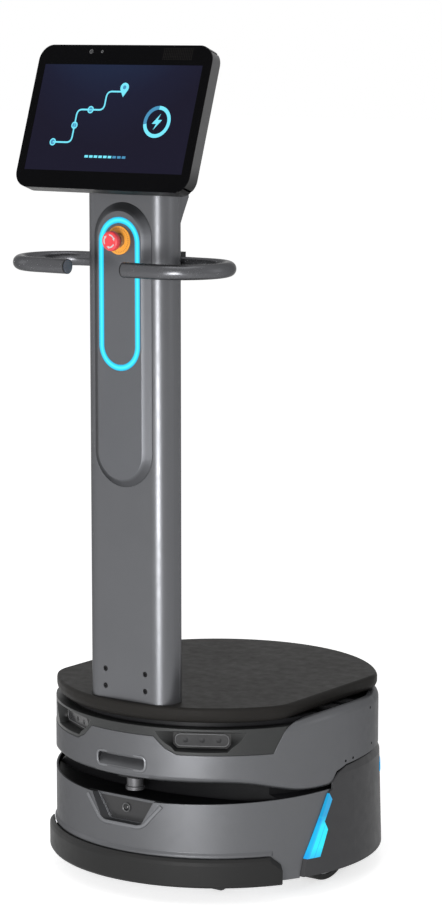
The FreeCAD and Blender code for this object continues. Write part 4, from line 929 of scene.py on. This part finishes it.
def screwShape(bm):
    radius, turned, deep = screws["radius"], screws["round"], screws["socketDeep"]
    lathe(bm, [(radius, -screws["long"]), (radius, -turned), (radius - turned, 0), (screws["mouth"], 0)],
          30, flat)
    ribbon(bm, hexagon(screws["socket"]), screws["socketWall"], -deep, 0, flat, closed=True)
    plate(bm, hexagon(screws["floor"]), -deep - screws["floorThick"], -deep, flat)


gridOf("footScrews", sourceShape("screwShape", screwShape), screws["count"], screws["apart"],
       frontOf("foot_screws", rightward, upward, towardsFront), "blackPlastic", "chassis",
       replaces=("foot_screws",))
print("column dressed")

# base: what dresses its windows, camera pod, slot, shells and wheels

baseRadius = 252 * mm


def outwardAt(degrees):
    return Vector((*spoke(1, degrees - 90), 0))


windows = {"turns": {"depth_camera_left": 30, "depth_camera_right": -30}, "half": (41.5 * mm, 10.5 * mm),
           "inset": 1.4 * mm, "round": 8 * mm, "rim": (1.5 * mm, 0.2 * mm, 0.7 * mm),
           "eyes": (-0.6, 0.0, 0.6),  # shares of the half width
           "eye": [(4.2 * mm, -0.1 * mm), (3.9 * mm, 0.04 * mm), (0, 0.04 * mm)]}


def windowRims():
    wide, tall = windows["half"]
    inset = windows["inset"]
    for name, turn in windows["turns"].items():
        out = outwardAt(turn)
        face = frontOf(name, upward.cross(out), upward, out)
        rim, eyes = bmesh.new(), bmesh.new()
        moulding(rim, roundedBox(wide - inset, tall - inset, windows["round"], 10), bead(*windows["rim"]),
                 face, closed=True)
        for share in windows["eyes"]:
            lathe(eyes, windows["eye"], 28, face @ Matrix.Translation((share * wide, 0, 0)))
        meshPiece(name + "Rim", rim, "windowRim", "chassis", angle=60)
        meshPiece(name + "Eyes", eyes, "blackSteel", "chassis")


pod = {"path": [(-69 * mm, 146 * mm), (-37 * mm, 110 * mm), (39 * mm, 110 * mm), (71 * mm, 146 * mm)],
       "round": 11 * mm, "rim": (6.0 * mm, 0.6 * mm, 1.8 * mm),
       "ring": [(7.2 * mm, -0.4 * mm), (7.2 * mm, 0.3 * mm), (6.6 * mm, 0.8 * mm), (5.4 * mm, 0.3 * mm)],
       "dome": [(4.6 * mm, 0), (3.9 * mm, 0.7 * mm), (2.4 * mm, 1.3 * mm), (0, 1.6 * mm)]}


def podTrim():
    rim, ring, dome = bmesh.new(), bmesh.new(), bmesh.new()
    moulding(rim, roundedPath(pod["path"], pod["round"]), bead(*pod["rim"]), flat)
    wrap(rim.verts, baseRadius)
    lens = frontOf("front_camera_lens", rightward, upward, towardsFront)
    lathe(ring, pod["ring"], 36, lens)
    lathe(dome, pod["dome"], 36, lens)
    meshPiece("podRim", rim, "rimGrey", "chassis", angle=60)
    meshPiece("podLensRing", ring, "windowRim", "chassis")
    meshPiece("podLensDome", dome, "lensBlack", "chassis")


frontSlot = {"half": (45 * mm, 11 * mm), "middle": 208 * mm, "round": 8 * mm,
             "lip": (4.0 * mm, 0.6 * mm, 1.6 * mm)}


def slotLip():
    box = roundedBox(*frontSlot["half"], frontSlot["round"], 8)
    lip = bmesh.new()
    moulding(lip, [(x, y + frontSlot["middle"]) for x, y in box], bead(*frontSlot["lip"]), flat,
             closed=True)
    wrap(lip.verts, baseRadius)
    meshPiece("slotLip", lip, "rimGrey", "chassis", angle=60)


holes = {"proud": 0.06 * mm,
         "shape": [(2.0 * mm, -0.5 * mm), (2.0 * mm, 0.02 * mm), (1.6 * mm, 0.06 * mm), (0, 0.03 * mm)],
         # each place is a turn from the front and a height
         "places": ((86, 196 * mm), (90.4, 197 * mm), (104, 262.6 * mm), (105.9, 204.8 * mm))}


def shellHoles():
    places = []
    for turn, height in holes["places"]:
        for side in (1, -1):
            out = outwardAt(turn * side)
            places.append((out * (baseRadius + holes["proud"]) + Vector((0, baseY, height)), out))
    # each hole is a flat near-black disc, painted shade in place of a real hole
    hole = sourceShape("holeShape", lambda bm: lathe(bm, holes["shape"], 20, flat))
    scattered("shellHoles", hole, places, "holeBlack", "chassis")


hubs = {"bolts": 6, "ring": 26 * mm,
        "bolt": [(3.4 * mm, -1.0 * mm), (3.4 * mm, 1.0 * mm), (2.8 * mm, 1.5 * mm), (1.8 * mm, 1.5 * mm),
                 (1.5 * mm, 0.5 * mm), (0, 0.5 * mm)]}


def hubBolts():
    for side, name in ((1, "drive_hub_left"), (-1, "drive_hub_right")):
        out = rightward * side
        bolt = sourceShape("boltShape", lambda bm: lathe(bm, hubs["bolt"], 24, flat))
        circleOf(name + "Bolts", bolt, hubs["bolts"], hubs["ring"],
                 frontOf(name, upward.cross(out), upward, out), "blackSteel",
                 body_of(nodes[name])[0])


hubBolts()
windowRims()
podTrim()
slotLip()
shellHoles()
print("base dressed")

# handlebar: dotted end plugs

plugs = {"radius": 9.2 * mm, "chamfer": 1 * mm, "thick": 0.25 * mm, "rimDepth": 0.2 * mm, "dots": (9, 9),
         "dot": [(0.62 * mm, 0), (0.434 * mm, 0.22 * mm), (0, 0.3 * mm)],
         "keep": 0.93}  # dots within this share of the radius are kept


def plugFaces():
    radius, thick = plugs["radius"], plugs["thick"]
    for side, name in ((1, "Left"), (-1, "Right")):
        ours = [vertex.co for vertex in nodes["bar_plugs"].data.vertices if vertex.co.x * side > 0]
        edge = min(corner.x * side for corner in ours) * side
        rim = [corner for corner in ours if abs(corner.x - edge) < plugs["rimDepth"]]
        middle = Vector([(min(axis) + max(axis)) / 2 for axis in zip(*rim)])
        out = rightward * -side
        face = axesAt(middle, upward.cross(out), upward, out)
        disk = bmesh.new()
        lathe(disk, [(radius + plugs["chamfer"], 0), (radius, thick), (0, thick)], 36, face)
        meshPiece("plugDisk" + name, disk, "plugBlue", "chassis")
        dot = sourceShape("plugDot", lambda bm: lathe(bm, plugs["dot"], 10, flat))
        gridOf("plugDots" + name, dot, plugs["dots"], (radius * 2, radius * 2),
               face @ Matrix.Translation((0, 0, thick)), "windowRim", "chassis",
               keep=radius * plugs["keep"])


plugFaces()
print("handlebar dressed")

# stage: a white background, a floor that keeps the shadow, and soft lamps

studio = {"ambient": 0.45, "aimHeight": 0.9,
          "floorColour": (0.9, 0.9, 0.9), "floorRough": 0.9, "floorGlow": 0.62, "floorHalf": 30.0,
          "lamps": {  # turn from the front, distance, height, size and power of each
              "keyLamp": (17, 3.0, 0.80, (0.9, 1.5), 34.0),
              "lowLamp": (17, 2.6, 0.30, (1.0, 0.5), 34.0),
              "leftLamp": (-70, 3.2, 1.7, (1.2, 1.8), 5.0),
              "rightLamp": (110, 3.0, 1.6, (1.2, 1.8), 6.0),
              "topLamp": (10, 0.3, 3.4, (1.6, 1.6), 14.0)}}


def seenDirectly(tree):
    # 1 where the camera, a reflection or a clear material looks, and 0 where light is gathered
    path = tree.nodes.new("ShaderNodeLightPath")
    total = path.outputs["Is Camera Ray"]
    for key in ("Is Glossy Ray", "Is Transmission Ray"):
        biggest = tree.nodes.new("ShaderNodeMath")
        biggest.operation = "MAXIMUM"
        tree.links.new(total, biggest.inputs[0])
        tree.links.new(path.outputs[key], biggest.inputs[1])
        total = biggest.outputs[0]
    return total


def pickShown(tree, gathered, shown, target):
    # one shader for what is seen and another for the light that is gathered
    mix = tree.nodes.new("ShaderNodeMixShader")
    tree.links.new(seenDirectly(tree), mix.inputs[0])
    tree.links.new(gathered, mix.inputs[1])
    tree.links.new(shown, mix.inputs[2])
    tree.links.new(mix.outputs[0], target)


def makeWorld():
    world = bpy.data.worlds.new("studioWorld")
    world.use_nodes = True
    bpy.context.scene.world = world
    tree = world.node_tree
    white, soft = tree.nodes.new("ShaderNodeBackground"), tree.nodes["Background"]
    for ground, strength in ((white, 1.0), (soft, studio["ambient"])):
        ground.inputs["Color"].default_value = (1, 1, 1, 1)
        ground.inputs["Strength"].default_value = strength
    pickShown(tree, soft.outputs[0], white.outputs[0], tree.nodes["World Output"].inputs["Surface"])


def makeFloor():
    finish = Finish("studioFloor")
    finish.set(Base_Color=studio["floorColour"], Roughness=studio["floorRough"], Specular_IOR_Level=0.0)
    tree, plain = finish.tree, finish.shader.outputs[0]
    glow = tree.nodes.new("ShaderNodeEmission")
    glow.inputs["Strength"].default_value = studio["floorGlow"]
    both = tree.nodes.new("ShaderNodeAddShader")
    tree.links.new(plain, both.inputs[0])
    tree.links.new(glow.outputs[0], both.inputs[1])
    pickShown(tree, plain, both.outputs[0], finish.output.inputs["Surface"])
    half = studio["floorHalf"]
    data = bpy.data.meshes.new("studioFloor")
    data.from_pydata([(-half, -half, 0), (half, -half, 0), (half, half, 0), (-half, half, 0)], [],
                     [(0, 1, 2, 3)])
    data.materials.append(finish.material)
    floor = bpy.data.objects.new("studioFloor", data)
    bpy.context.scene.collection.objects.link(floor)


def makeLamps():
    for name, (turn, reach, height, (width, tall), power) in studio["lamps"].items():
        data = bpy.data.lights.new(name, "AREA")
        data.shape = "RECTANGLE"
        data.size, data.size_y = width, tall
        data.energy = power
        lamp = bpy.data.objects.new(name, data)
        lamp.location = outwardAt(turn) * reach + upward * height
        aim = upward * min(height, studio["aimHeight"])
        lamp.rotation_euler = (aim - lamp.location).to_track_quat("-Z", "Y").to_euler()
        bpy.context.scene.collection.objects.link(lamp)


makeWorld()
makeFloor()
makeLamps()
print("stage lit")
